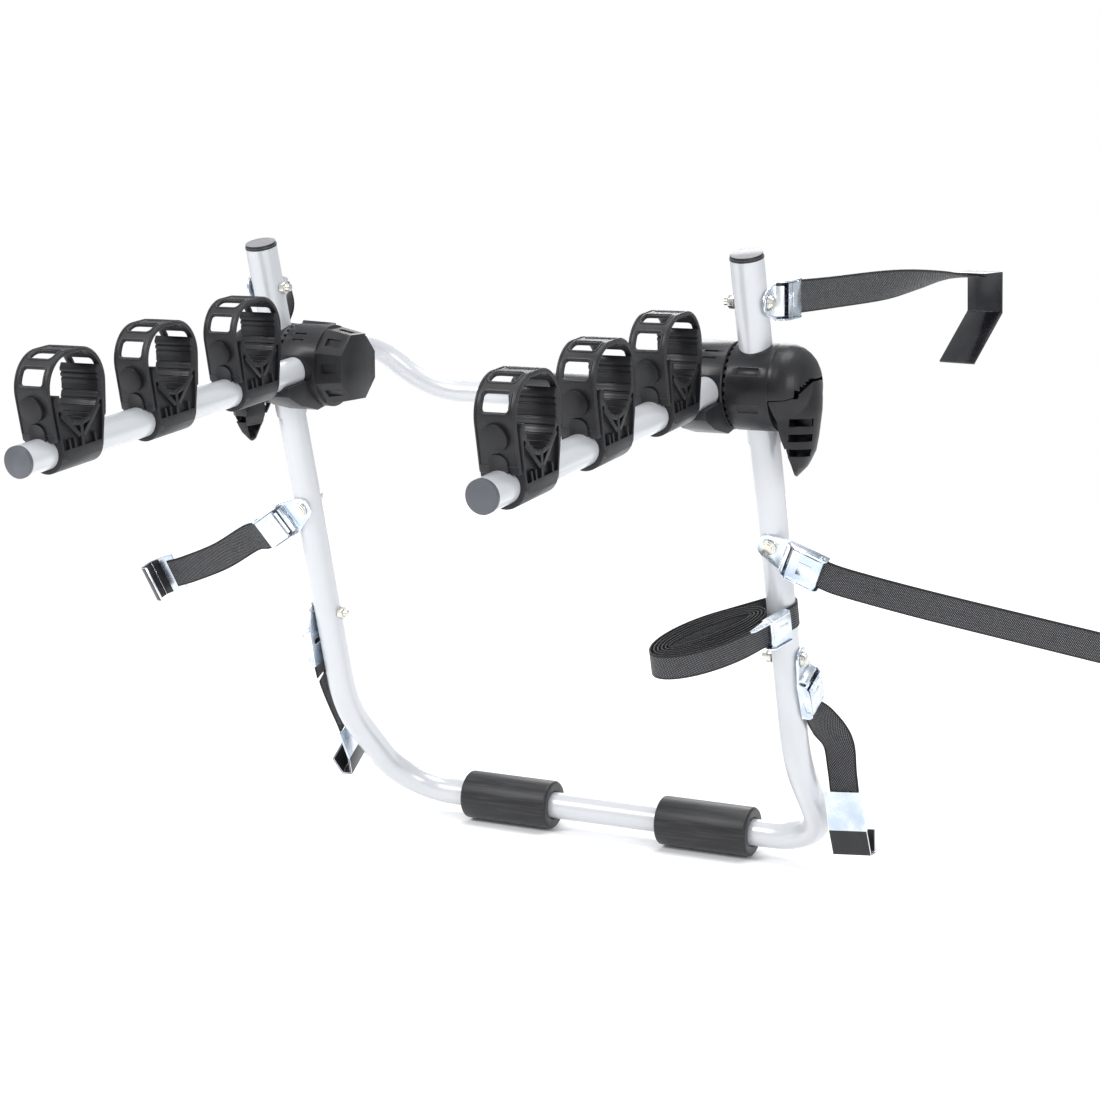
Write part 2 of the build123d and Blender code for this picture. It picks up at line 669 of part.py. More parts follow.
def cradle_part(side, along):
    plane = arm_plane(side, along)
    centre = arm_point(side, along)
    saddle = centre + arm_up * saddle_height
    with BuildPart() as cradle:
        block(plane, cradle_outline, -cradle_half, cradle_half)
        with BuildSketch(Plane(origin=centre, z_dir=arm_back).offset(-collar_half)) as ring:
            Circle(collar_r)
        extrude(ring.sketch, amount=2 * collar_half)
        rod(saddle, x_axis, saddle_r, -reach, reach, Mode.SUBTRACT)
        for step in range(rib_count):
            turn = math.radians(rib_first + rib_step * step)
            out = -arm_back * math.cos(turn) + arm_up * math.sin(turn)
            rod(saddle + out * saddle_r, x_axis, rib_r, -reach, reach, Mode.SUBTRACT)
        for height in tongue_ribs:
            rod(centre - arm_back * tongue_rib_x + arm_up * height, x_axis, rib_r, -reach, reach, Mode.SUBTRACT)
        for end in names:
            start = end * (cradle_half - side_pocket_depth)
            with BuildSketch(plane.offset(start)) as pocket:
                Polygon(*side_pocket[::-1], align=None)
                with Locations((0, saddle_height)):
                    Circle(saddle_r + seat_rim, mode=Mode.SUBTRACT)
                for first, last in side_ribs:
                    with BuildLine():
                        Line(first, last)
                    trace(line_width=side_rib_thick, mode=Mode.SUBTRACT)
                for x in fin_xs:
                    with Locations((x, fin_height)):
                        Rectangle(fin_thick, fin_long, rotation=fin_turn, mode=Mode.SUBTRACT)
            extrude(pocket.sketch, amount=end * reach, mode=Mode.SUBTRACT)
        spot, out = band_spot(side, along, 1, stud_height)
        rod(spot, out, stud_neck_r, stud_root, stud_seat)
        rod(spot, out, stud_r, stud_seat, stud_end)
        spot, out = band_spot(side, along, -1, back_stud_height)
        rod(spot, out, back_neck_r, stud_root, stud_seat)
        rod(spot, out, back_stud_r, stud_seat, back_stud_end)
        rod(centre, arm_back, arm_r + cradle_fit, -reach, reach, Mode.SUBTRACT)
    return cradle.part


def band_part(side, along):
    plane = arm_plane(side, along)
    centre = arm_point(side, along)

    def at(x, z):
        return centre - arm_back * x + arm_up * z

    path = bent_line([at(band_front_reach, band_front_foot), at(band_top_reach, band_top),
                      at(-band_top_reach, band_top), at(-band_back_reach, band_back_foot)],
                     (band_corner_r, band_corner_r))
    with BuildPart() as band:
        with BuildSketch(Plane(origin=path @ 0, x_dir=x_axis, z_dir=path % 0)) as flat:
            Rectangle(2 * band_half, band_thick)
        sweep(flat.sketch, path=path)
        spot, out = band_spot(side, along, 1, latch_height)
        with BuildSketch(Plane(origin=spot, x_dir=x_axis, z_dir=out)) as latch:
            Circle(latch_r)
            with Locations((0, -latch_foot * half_share)):
                Rectangle(2 * latch_r, latch_foot)
        extrude(latch.sketch, amount=latch_proud)
        rod(centre, arm_back, arm_r + foot_gap, -reach, reach, Mode.SUBTRACT)
        block(plane, box_outline(0, reach, latch_slit_low, latch_slit_high), -latch_slit_half, latch_slit_half,
              Mode.SUBTRACT)
        for turn in window_turns:
            out = -arm_back * math.cos(math.radians(turn)) + arm_up * math.sin(math.radians(turn))
            with BuildSketch(Plane(origin=at(0, window_height) + out * window_near, x_dir=x_axis, z_dir=out)) as hole:
                Rectangle(2 * window_half, 2 * window_half_high)
            extrude(hole.sketch, amount=window_far - window_near, mode=Mode.SUBTRACT)
        for end, height, radius in ((1, stud_height, stud_neck_r), (-1, back_stud_height, back_neck_r)):
            spot, out = band_spot(side, along, end, height)
            rod(spot, out, radius + band_hole_gap, stud_root, stud_end, Mode.SUBTRACT)
    return band.part


for side in names:
    for number, share in enumerate(cradle_shares):
        label = names[side] + "_" + str(number + 1)
        save(cradle_part(side, arm_length * share), "cradle_" + label)
        save(band_part(side, arm_length * share), "cradle_strap_" + label)

# Bolts and nuts through the tubes
places = {}
for side in names:
    places["top_" + names[side]] = (leg_point(side, top_bolt_up), x_axis * side, post_r)
    places["side_" + names[side]] = (leg_point(side, side_bolt_up), leg_front, leg_r)
    places["low_" + names[side]] = (leg_point(side, low_bolt_up), x_axis * side, leg_r)

with BuildPart() as bolts:
    for centre, out, tube in places.values():
        seat = tube + plate_gap + plate_thick + face_gap
        rod(centre, out, bolt_r, -tube - nut_thick - bolt_tail, seat)
        rod(centre, out, head_r, seat, seat + head_rim)
        rod(centre, out, head_shoulder_r, seat, seat + head_shoulder)
        rod(centre, out, head_crown_r, seat, seat + head_thick)
save(bolts.part, "strap_bolts")

with BuildPart() as nuts:
    for centre, out, tube in places.values():
        with BuildSketch(Plane(origin=centre - out * (tube + nut_thick), z_dir=out)) as nut:
            RegularPolygon(nut_r, nut_sides)
            Circle(bolt_r + bolt_fit, mode=Mode.SUBTRACT)
        extrude(nut.sketch, amount=nut_thick)
save(nuts.part, "strap_nuts")


# Cam buckles, each turning on its bolt
def ear_plane(plane):
    return Plane(origin=plane.origin, x_dir=plane.x_dir, z_dir=-plane.y_dir)


def buckle_part(plane):
    origin, out, across = plane.origin, plane.z_dir, plane.y_dir
    base = ((0, -plate_eye_r), (buckle_shoulder, -buckle_half), (buckle_length, -buckle_half),
            (buckle_length, buckle_half), (buckle_shoulder, buckle_half), (0, plate_eye_r))
    with BuildPart() as buckle:
        rod(origin, out, plate_eye_r, 0, plate_thick)
        block(plane, base, 0, plate_thick)
        block(ear_plane(plane), buckle_ear, buckle_half - plate_thick, buckle_half)
        block(ear_plane(plane), buckle_ear, -buckle_half, plate_thick - buckle_half)
        block(ear_plane(plane), buckle_bar, -buckle_bar_half, buckle_bar_half)
        window = box_outline(buckle_window_near, buckle_window_far, -buckle_window_half, buckle_window_half)
        block(plane, window, 0, plate_thick, Mode.SUBTRACT)
        rod(origin, out, bolt_r + bolt_fit, 0, plate_thick, Mode.SUBTRACT)
        pin = origin + plane.x_dir * cam_x + out * cam_z
        rod(pin, across, cam_pin_r + cam_pin_fit, -reach, reach, Mode.SUBTRACT)
    return buckle.part


def cam_part(plane):
    across = plane.y_dir
    pin = plane.origin + plane.x_dir * cam_x + plane.z_dir * cam_z
    barrel = buckle_half - plate_thick - cam_side_gap
    stub = buckle_half + cam_pin_proud
    square = box_outline(cam_square_x - cam_square * half_share, cam_square_x + cam_square * half_share,
                         -cam_square * half_share, cam_square * half_share)
    with BuildPart() as cam:
        rod(pin, across, cam_r, -barrel, barrel)
        rod(pin, across, cam_pin_r, -stub, stub)
        block(ear_plane(plane), cam_plate, -cam_plate_half, cam_plate_half)
        block(ear_plane(plane), cam_lip, -cam_plate_half, cam_plate_half)
        block(plane, square, cam_plate_top, cam_plate_top + cam_square_high)
    return cam.part


def along_yz(turn):
    return Vector(0, math.cos(math.radians(turn)), math.sin(math.radians(turn)))


def along_leg(turn):
    return x_axis * math.cos(math.radians(turn)) + leg_up * math.sin(math.radians(turn))


turns = {"top_right": along_yz(top_right_turn), "top_left": along_yz(top_left_turn),
         "side_right": along_leg(side_right_turn), "side_left": along_leg(side_left_turn),
         "low_right": along_yz(low_right_turn), "low_left": along_yz(low_left_turn)}
planes = {}
for label, (centre, out, tube) in places.items():
    planes[label] = Plane(origin=centre + out * (tube + plate_gap), x_dir=turns[label], z_dir=out)
    save(buckle_part(planes[label]), "buckle_" + label)
    save(cam_part(planes[label]), "buckle_cam_" + label)


# Webbing: out of the buckle, then through the listed points with the listed width directions
def webbing_part(plane, side, free, across):
    lift = plate_thick + web_lift + web_thick * half_share
    first = plane.origin + plane.z_dir * lift + plane.x_dir * web_start
    exit_point = plane.origin + plane.z_dir * lift + plane.x_dir * web_exit
    points = [first, exit_point] + [Vector(side * (leg_half(z) + x), y, z) for x, y, z in free]
    wide = [plane.y_dir, plane.y_dir] + [Vector(*width) for width in across]
    fine_points, fine_wide = [points[0]], [wide[0]]
    for index in range(1, len(points)):
        for step in range(1, web_steps + 1):
            share = step / web_steps
            fine_points.append(points[index - 1] * (1 - share) + points[index] * share)
            fine_wide.append((wide[index - 1] * (1 - share) + wide[index] * share).normalized())
    with BuildPart() as strip:
        ribbon(fine_points, fine_wide, web_width, web_thick)
    return strip.part, points[-1], (points[-1] - points[-2]).normalized(), wide[-1]


def hook_part(end, ahead, wide, outline, flip):
    level = (wide - ahead * wide.dot(ahead)).normalized()
    up = level.cross(ahead) * flip
    lift = (web_thick + hook_thick) * half_share + hook_gap
    with BuildPart() as hook:
        face = Plane(origin=end + up * lift, x_dir=ahead, z_dir=ahead.cross(up))
        block(face, thick_outline(outline, hook_thick), -hook_half, hook_half)
    return hook.part


for label, (free, across, outline, flip) in runs.items():
    side = 1 if label.endswith("right") else -1
    strip, end, ahead, wide = webbing_part(planes[label], side, free, across)
    save(strip, "webbing_" + label)
    save(hook_part(end, ahead, wide, outline, flip), "hook_" + label)

# Tie strap: a relaxed oval coil whose outer turn goes round the right leg and back under its buckle
tie_centre = leg_point(1, tie_up)
tie_out = Vector(*tie_heading)
tie_out = (tie_out - leg_up * tie_out.dot(leg_up)).normalized()
tie_side = leg_up.cross(tie_out)
tie_plane = Plane(origin=tie_centre, x_dir=tie_out, z_dir=tie_out.cross(tie_side))


def coil_point(angle):
    grow = tie_pitch * angle / (2 * math.pi)
    return (coil_centre + (coil_long + grow) * math.cos(angle), (coil_wide + grow) * math.sin(angle))


def coil_heading(angle):
    (x0, y0), (x1, y1) = coil_point(angle - tiny_share), coil_point(angle + tiny_share)
    size = math.hypot(x1 - x0, y1 - y0)
    return ((x1 - x0) / size, (y1 - y0) / size)


def miss(angle):
    (x, y), (hx, hy) = coil_point(angle), coil_heading(angle)
    return abs(x * hy - y * hx)


loop_r = leg_r + tie_slack + tie_thick * half_share
inner_turns = 2 * math.pi * tie_turns
leave, join = None, None
steps = range(int(math.pi / tiny_share))
for step in steps:
    angle = inner_turns + step * tiny_share
    if leave is None and coil_heading(angle)[0] < 0 and miss(angle) < loop_r and coil_point(angle)[1] > 0:
        leave = angle
for step in steps:
    angle = inner_turns + 2 * math.pi - step * tiny_share
    if join is None and coil_heading(angle)[0] > 0 and miss(angle) < loop_r and coil_point(angle)[1] < 0:
        join = angle
leave_heading, join_heading = coil_heading(leave), coil_heading(join)
line = []
count = int(leave / coil_step)
line += [coil_point(leave * k / count) for k in range(count)]
line.append(coil_point(leave))
first = math.atan2(leave_heading[1], leave_heading[0]) - math.pi * half_share
last = math.atan2(join_heading[1], join_heading[0]) - math.pi * half_share
while last < first:
    last += 2 * math.pi
start = (loop_r * math.cos(first), loop_r * math.sin(first))
line.append(tuple((a + b) * half_share for a, b in zip(line[-1], start)))
for k in range(loop_steps + 1):
    angle = first + (last - first) * k / loop_steps
    line.append((loop_r * math.cos(angle), loop_r * math.sin(angle)))
outer_start = coil_point(join)
line.append(tuple((a + b) * half_share for a, b in zip(line[-1], outer_start)))
finish = leave + 2 * math.pi
count = int((finish - join) / coil_step)
line += [coil_point(join + (finish - join) * k / count) for k in range(count + 1)]
lead = math.hypot(line[-1][0] - start[0], line[-1][1] - start[1]) - tie_end
for k in range(1, end_steps + 1):
    line.append((line[-1][0] + leave_heading[0] * lead / end_steps, line[-1][1] + leave_heading[1] * lead / end_steps))


def shifted(points, distance):
    moved = []
    for index, (x, y) in enumerate(points):
        x0, y0 = points[max(index - 1, 0)]
        x1, y1 = points[min(index + 1, len(points) - 1)]
        size = math.hypot(x1 - x0, y1 - y0)
        moved.append((x - (y1 - y0) / size * distance, y + (x1 - x0) / size * distance))
    return moved


near = min(math.hypot(a[0] - b[0], a[1] - b[1]) for i, a in enumerate(line) for b in line[i + tie_skip_count:])
print("tie strap: least distance between turns", round(near, 2), "least gap", round(near - tie_thick, 2))
with BuildPart() as tie:
    with BuildSketch(tie_plane.offset(-tie_width * half_share)) as strip:
        with BuildLine():
            left = Spline(*shifted(line, tie_thick * half_share))
            right = Spline(*shifted(line, -tie_thick * half_share))
            Line(left @ 0, right @ 0)
            Line(left @ 1, right @ 1)
        make_face()
    extrude(strip.sketch, amount=tie_width)
save(tie.part, "tie_strap")


def tie_point(x, y):
    return tie_centre + tie_out * x + tie_side * y


# The tie strap's own buckle, its plate between the strand to the leg and the loose outer turn
tie_along = (tie_out * -leave_heading[0] + tie_side * -leave_heading[1]).normalized()
tie_normal = tie_along.cross(tie_plane.z_dir)
if tie_normal.dot(tie_side) < 0:
    tie_normal = -tie_normal
buckle_origin = tie_point(*start) + tie_normal * (tie_thick * half_share + tie_plate_gap)
small = Plane(origin=buckle_origin, x_dir=tie_along, z_dir=tie_normal)
small_pin = buckle_origin + tie_along * small_cam_x + tie_normal * small_cam_z
with BuildPart() as small_buckle:
    block(small, box_outline(small_near, small_far, -small_half, small_half), 0, small_thick)
    block(ear_plane(small), small_flange, small_half - small_thick, small_half)
    block(ear_plane(small), small_ear, -small_half, small_thick - small_half)
    rod(small_pin, small.y_dir, cam_pin_r + cam_pin_fit, -reach, reach, Mode.SUBTRACT)
save(small_buckle.part, "tie_buckle")

with BuildPart() as small_cam:
    barrel = small_half - small_thick - cam_side_gap
    rod(small_pin, small.y_dir, small_cam_r, -barrel, barrel)
    rod(small_pin, small.y_dir, cam_pin_r, -small_half - cam_pin_proud, small_half + cam_pin_proud)
    block(ear_plane(small), small_cam_plate, -small_cam_half, small_cam_half)
    block(small, small_square, small_square_low, small_square_top)
save(small_cam.part, "tie_buckle_cam")
print("tie buckle", small.origin, "pin", small_pin, "axis", small.y_dir)
for label, plane in planes.items():
    pin = plane.origin + plane.x_dir * cam_x + plane.z_dir * cam_z
    print("buckle", label, "bolt", plane.origin, plane.z_dir, "pin", pin, plane.y_dir)
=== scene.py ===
import json
import math

import bmesh
import bpy
from mathutils import Matrix, Vector


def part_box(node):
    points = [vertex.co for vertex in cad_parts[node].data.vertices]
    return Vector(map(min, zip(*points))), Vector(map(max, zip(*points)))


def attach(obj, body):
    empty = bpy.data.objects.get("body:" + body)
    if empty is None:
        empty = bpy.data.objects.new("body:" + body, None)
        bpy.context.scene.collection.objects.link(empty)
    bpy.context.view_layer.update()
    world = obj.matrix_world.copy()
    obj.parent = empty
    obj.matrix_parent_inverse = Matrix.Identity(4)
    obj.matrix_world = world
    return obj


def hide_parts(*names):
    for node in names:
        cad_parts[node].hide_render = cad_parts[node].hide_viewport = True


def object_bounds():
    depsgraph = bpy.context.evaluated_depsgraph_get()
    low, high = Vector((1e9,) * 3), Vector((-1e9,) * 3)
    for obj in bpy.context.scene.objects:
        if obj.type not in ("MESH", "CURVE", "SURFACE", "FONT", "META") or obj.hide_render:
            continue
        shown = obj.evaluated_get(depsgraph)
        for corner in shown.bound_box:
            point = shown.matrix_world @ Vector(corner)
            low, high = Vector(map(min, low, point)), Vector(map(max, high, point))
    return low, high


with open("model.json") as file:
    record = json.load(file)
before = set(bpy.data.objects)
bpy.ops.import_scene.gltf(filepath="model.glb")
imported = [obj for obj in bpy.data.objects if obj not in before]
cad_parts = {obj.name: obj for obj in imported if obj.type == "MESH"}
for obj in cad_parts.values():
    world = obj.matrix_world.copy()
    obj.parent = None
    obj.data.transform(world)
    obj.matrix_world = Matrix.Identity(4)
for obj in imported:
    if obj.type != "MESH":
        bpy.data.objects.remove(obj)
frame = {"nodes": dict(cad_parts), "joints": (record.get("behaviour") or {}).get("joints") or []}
nodes = frame["nodes"]
cadLow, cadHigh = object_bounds()
mm = 0.001
sides = {-1: "left", 1: "right"}
spots = [level + "_" + side for level in ("top", "side", "low") for side in ("left", "right")]
joints = {joint["name"]: joint for joint in frame["joints"]}
print("frame loaded", len(nodes), "nodes")

# Directions shared by the pieces, from the frame's own joints
across = Vector((1, 0, 0))
armBack = Vector(joints["cradle_swivel_right_1"]["axis"])
armUp = across.cross(armBack)
legFront = Vector(joints["strap_swivel_side_right"]["axis"])
legUp = across.cross(-legFront)


# A socket that takes part in sums and products
class Field:
    def __init__(self, nodeTree, socket):
        self.nodeTree = nodeTree
        self.socket = socket

    def math(self, operation, first, second=None):
        return self.nodeTree.make("ShaderNodeMath", {"operation": operation}, {0: first, 1: second})

    def __add__(self, other):
        return self.math("ADD", self, other)

    def __sub__(self, other):
        return self.math("SUBTRACT", self, other)

    def __rsub__(self, other):
        return self.math("SUBTRACT", other, self)

    def __mul__(self, other):
        return self.math("MULTIPLY", self, other)

    __radd__ = __add__
    __rmul__ = __mul__

    def sine(self):
        return self.math("SINE", self)

    def size(self):
        return self.math("ABSOLUTE", self)

    def ramp(self, low, high, start=0.0, end=1.0):
        return self.nodeTree.make("ShaderNodeMapRange", {"interpolation_type": "SMOOTHSTEP"},
                                  {"Value": self, "From Min": low, "From Max": high,
                                   "To Min": start, "To Max": end})


class NodeTree:
    def __init__(self, tree):
        self.tree = tree

    def make(self, kind, settings, values, output=0):
        node = self.tree.nodes.new(kind)
        for name, value in settings.items():
            setattr(node, name, value)
        for key, value in values.items():
            if isinstance(value, Field):
                self.tree.links.new(value.socket, node.inputs[key])
            elif value is not None:
                node.inputs[key].default_value = value
        return None if output is None else Field(self, node.outputs[output])

    def blend(self, factor, first, second):
        first, second = ((*c, 1.0) if isinstance(c, tuple) else c for c in (first, second))
        return self.make("ShaderNodeMix", {"data_type": "RGBA"}, {0: factor, 6: first, 7: second}, 2)


# A material on one Principled shader
class Look(NodeTree):
    def __init__(self, name, constants):
        self.material = bpy.data.materials.new(name)
        self.material.use_nodes = True
        super().__init__(self.material.node_tree)
        self.shader = self.tree.nodes["Principled BSDF"]
        for socket, value in constants.items():
            self.shader.inputs[socket].default_value = value

    def place(self, kind="Object"):
        return self.make("ShaderNodeTexCoord", {}, {}, kind)

    def axes(self, kind="Object"):
        place = self.place(kind)
        return [self.make("ShaderNodeSeparateXYZ", {}, {0: place}, axis) for axis in "XYZ"]

    def noise(self, scale, detail=2.0, stretch=(1.0, 1.0, 1.0), kind="Object"):
        vector = self.make("ShaderNodeMapping", {}, {"Vector": self.place(kind), "Scale": stretch})
        return self.make("ShaderNodeTexNoise", {}, {"Vector": vector, "Scale": scale, "Detail": detail})

    def cells(self, scale):
        return self.make("ShaderNodeTexVoronoi", {}, {"Vector": self.place(), "Scale": scale})

    def feed(self, name, field):
        self.tree.links.new(field.socket, self.shader.inputs[name])

    def bump(self, field, strength, distance):
        values = {"Strength": strength, "Distance": distance, "Height": field}
        self.feed("Normal", self.make("ShaderNodeBump", {}, values))


# Painted tube with fine flakes
paint = {"dark": (0.56, 0.575, 0.60), "light": (0.64, 0.655, 0.68), "flake": (0.84, 0.86, 0.90),
         "cloudScale": 9.0, "cloudDetail": 3.0, "flakeScale": 2600.0, "flakeDetail": 1.0, "flakeLow": 0.55,
         "flakeHigh": 0.75, "flakeShare": 0.25, "rough": 0.24, "roughSpread": 0.12, "metallic": 0.2,
         "coat": 0.4, "coatRough": 0.16, "shine": 0.5, "grainScale": 420.0, "grain": 0.05,
         "grainHigh": 0.0004}


def silverPaint():
    look = Look("silverPaint", {"Metallic": paint["metallic"], "Coat Weight": paint["coat"],
                                "Coat Roughness": paint["coatRough"], "Specular IOR Level": paint["shine"]})
    cloud = look.noise(paint["cloudScale"], paint["cloudDetail"])
    flake = look.noise(paint["flakeScale"], paint["flakeDetail"])
    flakes = flake.ramp(paint["flakeLow"], paint["flakeHigh"]) * paint["flakeShare"]
    tone = look.blend(cloud, paint["dark"], paint["light"])
    look.feed("Base Color", look.blend(flakes, tone, paint["flake"]))
    look.feed("Roughness", cloud * paint["roughSpread"] + paint["rough"])
    look.bump(look.noise(paint["grainScale"]), paint["grain"], paint["grainHigh"])
    return look.material


# Moulded plastic with fine specks
plastic = {"coatShare": 0.5, "coatRough": 0.22, "cloudScale": 24.0, "cloudDetail": 4.0, "cloudLow": 0.3,
           "cloudHigh": 0.75, "speckLow": 0.62, "speckHigh": 0.8, "speckShare": 0.35, "speckGain": 2.0,
           "roughCloud": 0.2, "roughSpeck": 0.08, "roughMiddle": 0.14, "grain": 0.15, "grainHigh": 0.0003}


def moulded(name, dark, light, rough, grainScale, shine):
    look = Look(name, {"Specular IOR Level": shine, "Coat Weight": shine * plastic["coatShare"],
                       "Coat Roughness": plastic["coatRough"]})
    cloud = look.noise(plastic["cloudScale"], plastic["cloudDetail"])
    speck = look.noise(grainScale)
    tone = look.blend(cloud.ramp(plastic["cloudLow"], plastic["cloudHigh"]), dark, light)
    specks = speck.ramp(plastic["speckLow"], plastic["speckHigh"]) * plastic["speckShare"]
    look.feed("Base Color", look.blend(specks, tone, tuple(c * plastic["speckGain"] for c in light)))
    look.feed("Roughness", cloud * plastic["roughCloud"] + speck * plastic["roughSpeck"]
              + (rough - plastic["roughMiddle"]))
    look.bump(speck, plastic["grain"], plastic["grainHigh"])
    return look.material


# Foam skin, streaked along the tube
foamSkin = {"dark": (0.006, 0.006, 0.007), "light": (0.024, 0.024, 0.027), "streakScale": 60.0,
            "streakDetail": 5.0, "streakStretch": (0.35, 6.0, 6.0), "streakLow": 0.45, "streakHigh": 0.72,
            "cellScale": 900.0, "cellShare": 0.4, "rough": 0.32, "roughSpread": 0.22, "shine": 0.45,
            "sheen": 0.1, "sheenRough": 0.5, "grain": 0.3, "grainHigh": 0.0006}


def foamLook():
    look = Look("blackFoam", {"Specular IOR Level": foamSkin["shine"], "Sheen Weight": foamSkin["sheen"],
                              "Sheen Roughness": foamSkin["sheenRough"]})
    streak = look.noise(foamSkin["streakScale"], foamSkin["streakDetail"], foamSkin["streakStretch"])
    share = streak.ramp(foamSkin["streakLow"], foamSkin["streakHigh"])
    look.feed("Base Color", look.blend(share, foamSkin["dark"], foamSkin["light"]))
    look.feed("Roughness", streak * foamSkin["roughSpread"] + foamSkin["rough"])
    cell = look.cells(foamSkin["cellScale"])
    look.bump(cell * foamSkin["cellShare"] + streak, foamSkin["grain"], foamSkin["grainHigh"])
    return look.material


# Plated steel with fine scratches
plate = {"cloudScale": 45.0, "cloudDetail": 4.0, "cloudLow": 0.35, "cloudHigh": 0.7, "scratchScale": 260.0,
         "scratchDetail": 3.0, "scratchStretch": (1.0, 1.0, 9.0), "roughCloud": 0.14, "roughScratch": 0.1,
         "roughMiddle": 0.1, "grain": 0.06, "grainHigh": 0.0002}


def platedLook(name, base, tint, rough):
    look = Look(name, {"Metallic": 1.0})
    cloud = look.noise(plate["cloudScale"], plate["cloudDetail"])
    scratch = look.noise(plate["scratchScale"], plate["scratchDetail"], plate["scratchStretch"])
    look.feed("Base Color", look.blend(cloud.ramp(plate["cloudLow"], plate["cloudHigh"]), base, tint))
    look.feed("Roughness", cloud * plate["roughCloud"] + scratch * plate["roughScratch"]
              + (rough - plate["roughMiddle"]))
    look.bump(scratch, plate["grain"], plate["grainHigh"])
    return look.material


# Rubber of the cradle straps, a little dusty
rubberSkin = {"dark": (0.012, 0.012, 0.014), "light": (0.030, 0.030, 0.033), "cloudScale": 30.0,
              "cloudDetail": 4.0, "cloudLow": 0.35, "cloudHigh": 0.8, "dustScale": 900.0, "dustDetail": 3.0,
              "rough": 0.30, "roughCloud": 0.18, "roughDust": 0.1, "shine": 0.4, "grain": 0.12,
              "grainHigh": 0.0003}


def rubberLook():
    look = Look("strapRubber", {"Specular IOR Level": rubberSkin["shine"]})
    cloud = look.noise(rubberSkin["cloudScale"], rubberSkin["cloudDetail"])
    dust = look.noise(rubberSkin["dustScale"], rubberSkin["dustDetail"])
    share = cloud.ramp(rubberSkin["cloudLow"], rubberSkin["cloudHigh"])
    look.feed("Base Color", look.blend(share, rubberSkin["dark"], rubberSkin["light"]))
    look.feed("Roughness", cloud * rubberSkin["roughCloud"] + dust * rubberSkin["roughDust"]
              + rubberSkin["rough"])
    look.bump(dust, rubberSkin["grain"], rubberSkin["grainHigh"])
    return look.material


# Woven polyester: slanted rows of light threads between plain bound edges
weave = {"dark": (0.0075, 0.0075, 0.0090), "light": (0.33, 0.33, 0.35), "twillAside": 0.8,
         "twillAlong": 0.6, "pickAside": 0.35, "pickAlong": 1.05, "pickShare": 0.55, "cordAside": 1.9,
         "threadLow": 0.75, "threadHigh": 1.25, "edgeInner": 2.6 * mm, "edgeOuter": 1.8 * mm,
         "wearScale": 90.0, "wearDetail": 2.0, "wearLow": 0.2, "wearHigh": 0.5, "wearLeast": 0.55,
         "rough": 0.5, "roughSpread": 0.2, "shine": 0.35, "sheen": 0.12, "sheenRough": 0.4,
         "twillHigh": 0.5, "cordHigh": 0.3, "grain": 0.5, "grainHigh": 0.0005}


def webbingLook(name, width, pitch):
    look = Look(name, {"Specular IOR Level": weave["shine"], "Sheen Weight": weave["sheen"],
                       "Sheen Roughness": weave["sheenRough"]})
    aside, along, _ = look.axes("UV")
    turn, half = 2.0 * math.pi / pitch, width * 0.5
    twill = (aside * turn * weave["twillAside"] + along * turn * weave["twillAlong"]).sine()
    picks = (along * turn * weave["pickAlong"] - aside * turn * weave["pickAside"]).sine()
    cords = (aside * turn * weave["cordAside"]).sine()
    inside = (aside - half).size().ramp(half - weave["edgeInner"], half - weave["edgeOuter"], 1.0, 0.0)
    wear = look.noise(weave["wearScale"], weave["wearDetail"], kind="UV")
    worn = wear.ramp(weave["wearLow"], weave["wearHigh"], weave["wearLeast"], 1.0)
    threads = (twill + picks * weave["pickShare"]).ramp(weave["threadLow"], weave["threadHigh"])
    look.feed("Base Color", look.blend(threads * inside * worn, weave["dark"], weave["light"]))
    look.feed("Roughness", wear * weave["roughSpread"] + weave["rough"])
    look.bump(twill * weave["twillHigh"] + cords * weave["cordHigh"], weave["grain"], weave["grainHigh"])
    return look.material


mouldings = {
    "hubPlastic": {"dark": (0.007, 0.007, 0.0085), "light": (0.016, 0.016, 0.0185), "rough": 0.42,
                   "grainScale": 1300.0, "shine": 0.28},
    # Lighter plastic: the clamp rods wear it whole, and on the softened edges of hubs and cradles it is a
    # painted highlight
    "hubPlasticLightAndEdgeHighlight": {"dark": (0.034, 0.034, 0.038), "light": (0.062, 0.062, 0.068), "rough": 0.34,
                       "grainScale": 1300.0, "shine": 0.4},
    # Darker than the lever plastic: painted shade inside the levers
    "leverInsidePaintedShade": {"dark": (0.003, 0.003, 0.0035), "light": (0.007, 0.007, 0.008), "rough": 0.6,
                    "grainScale": 1300.0, "shine": 0.2},
    "armCapPlastic": {"dark": (0.080, 0.086, 0.098), "light": (0.115, 0.122, 0.138), "rough": 0.5,
                      "grainScale": 1600.0, "shine": 0.4},
    "postCapPlastic": {"dark": (0.17, 0.17, 0.18), "light": (0.24, 0.24, 0.255), "rough": 0.5,
                       "grainScale": 1600.0, "shine": 0.4},
    "capRim": {"dark": (0.008, 0.008, 0.009), "light": (0.018, 0.018, 0.020), "rough": 0.45,
               "grainScale": 1600.0, "shine": 0.4},
    "hookTipRubber": {"dark": (0.007, 0.007, 0.008), "light": (0.017, 0.017, 0.019), "rough": 0.4,
                      "grainScale": 1100.0, "shine": 0.4},
    "hookGlossBlack": {"dark": (0.006, 0.006, 0.008), "light": (0.016, 0.016, 0.020), "rough": 0.24,
                       "grainScale": 900.0, "shine": 0.5},
}
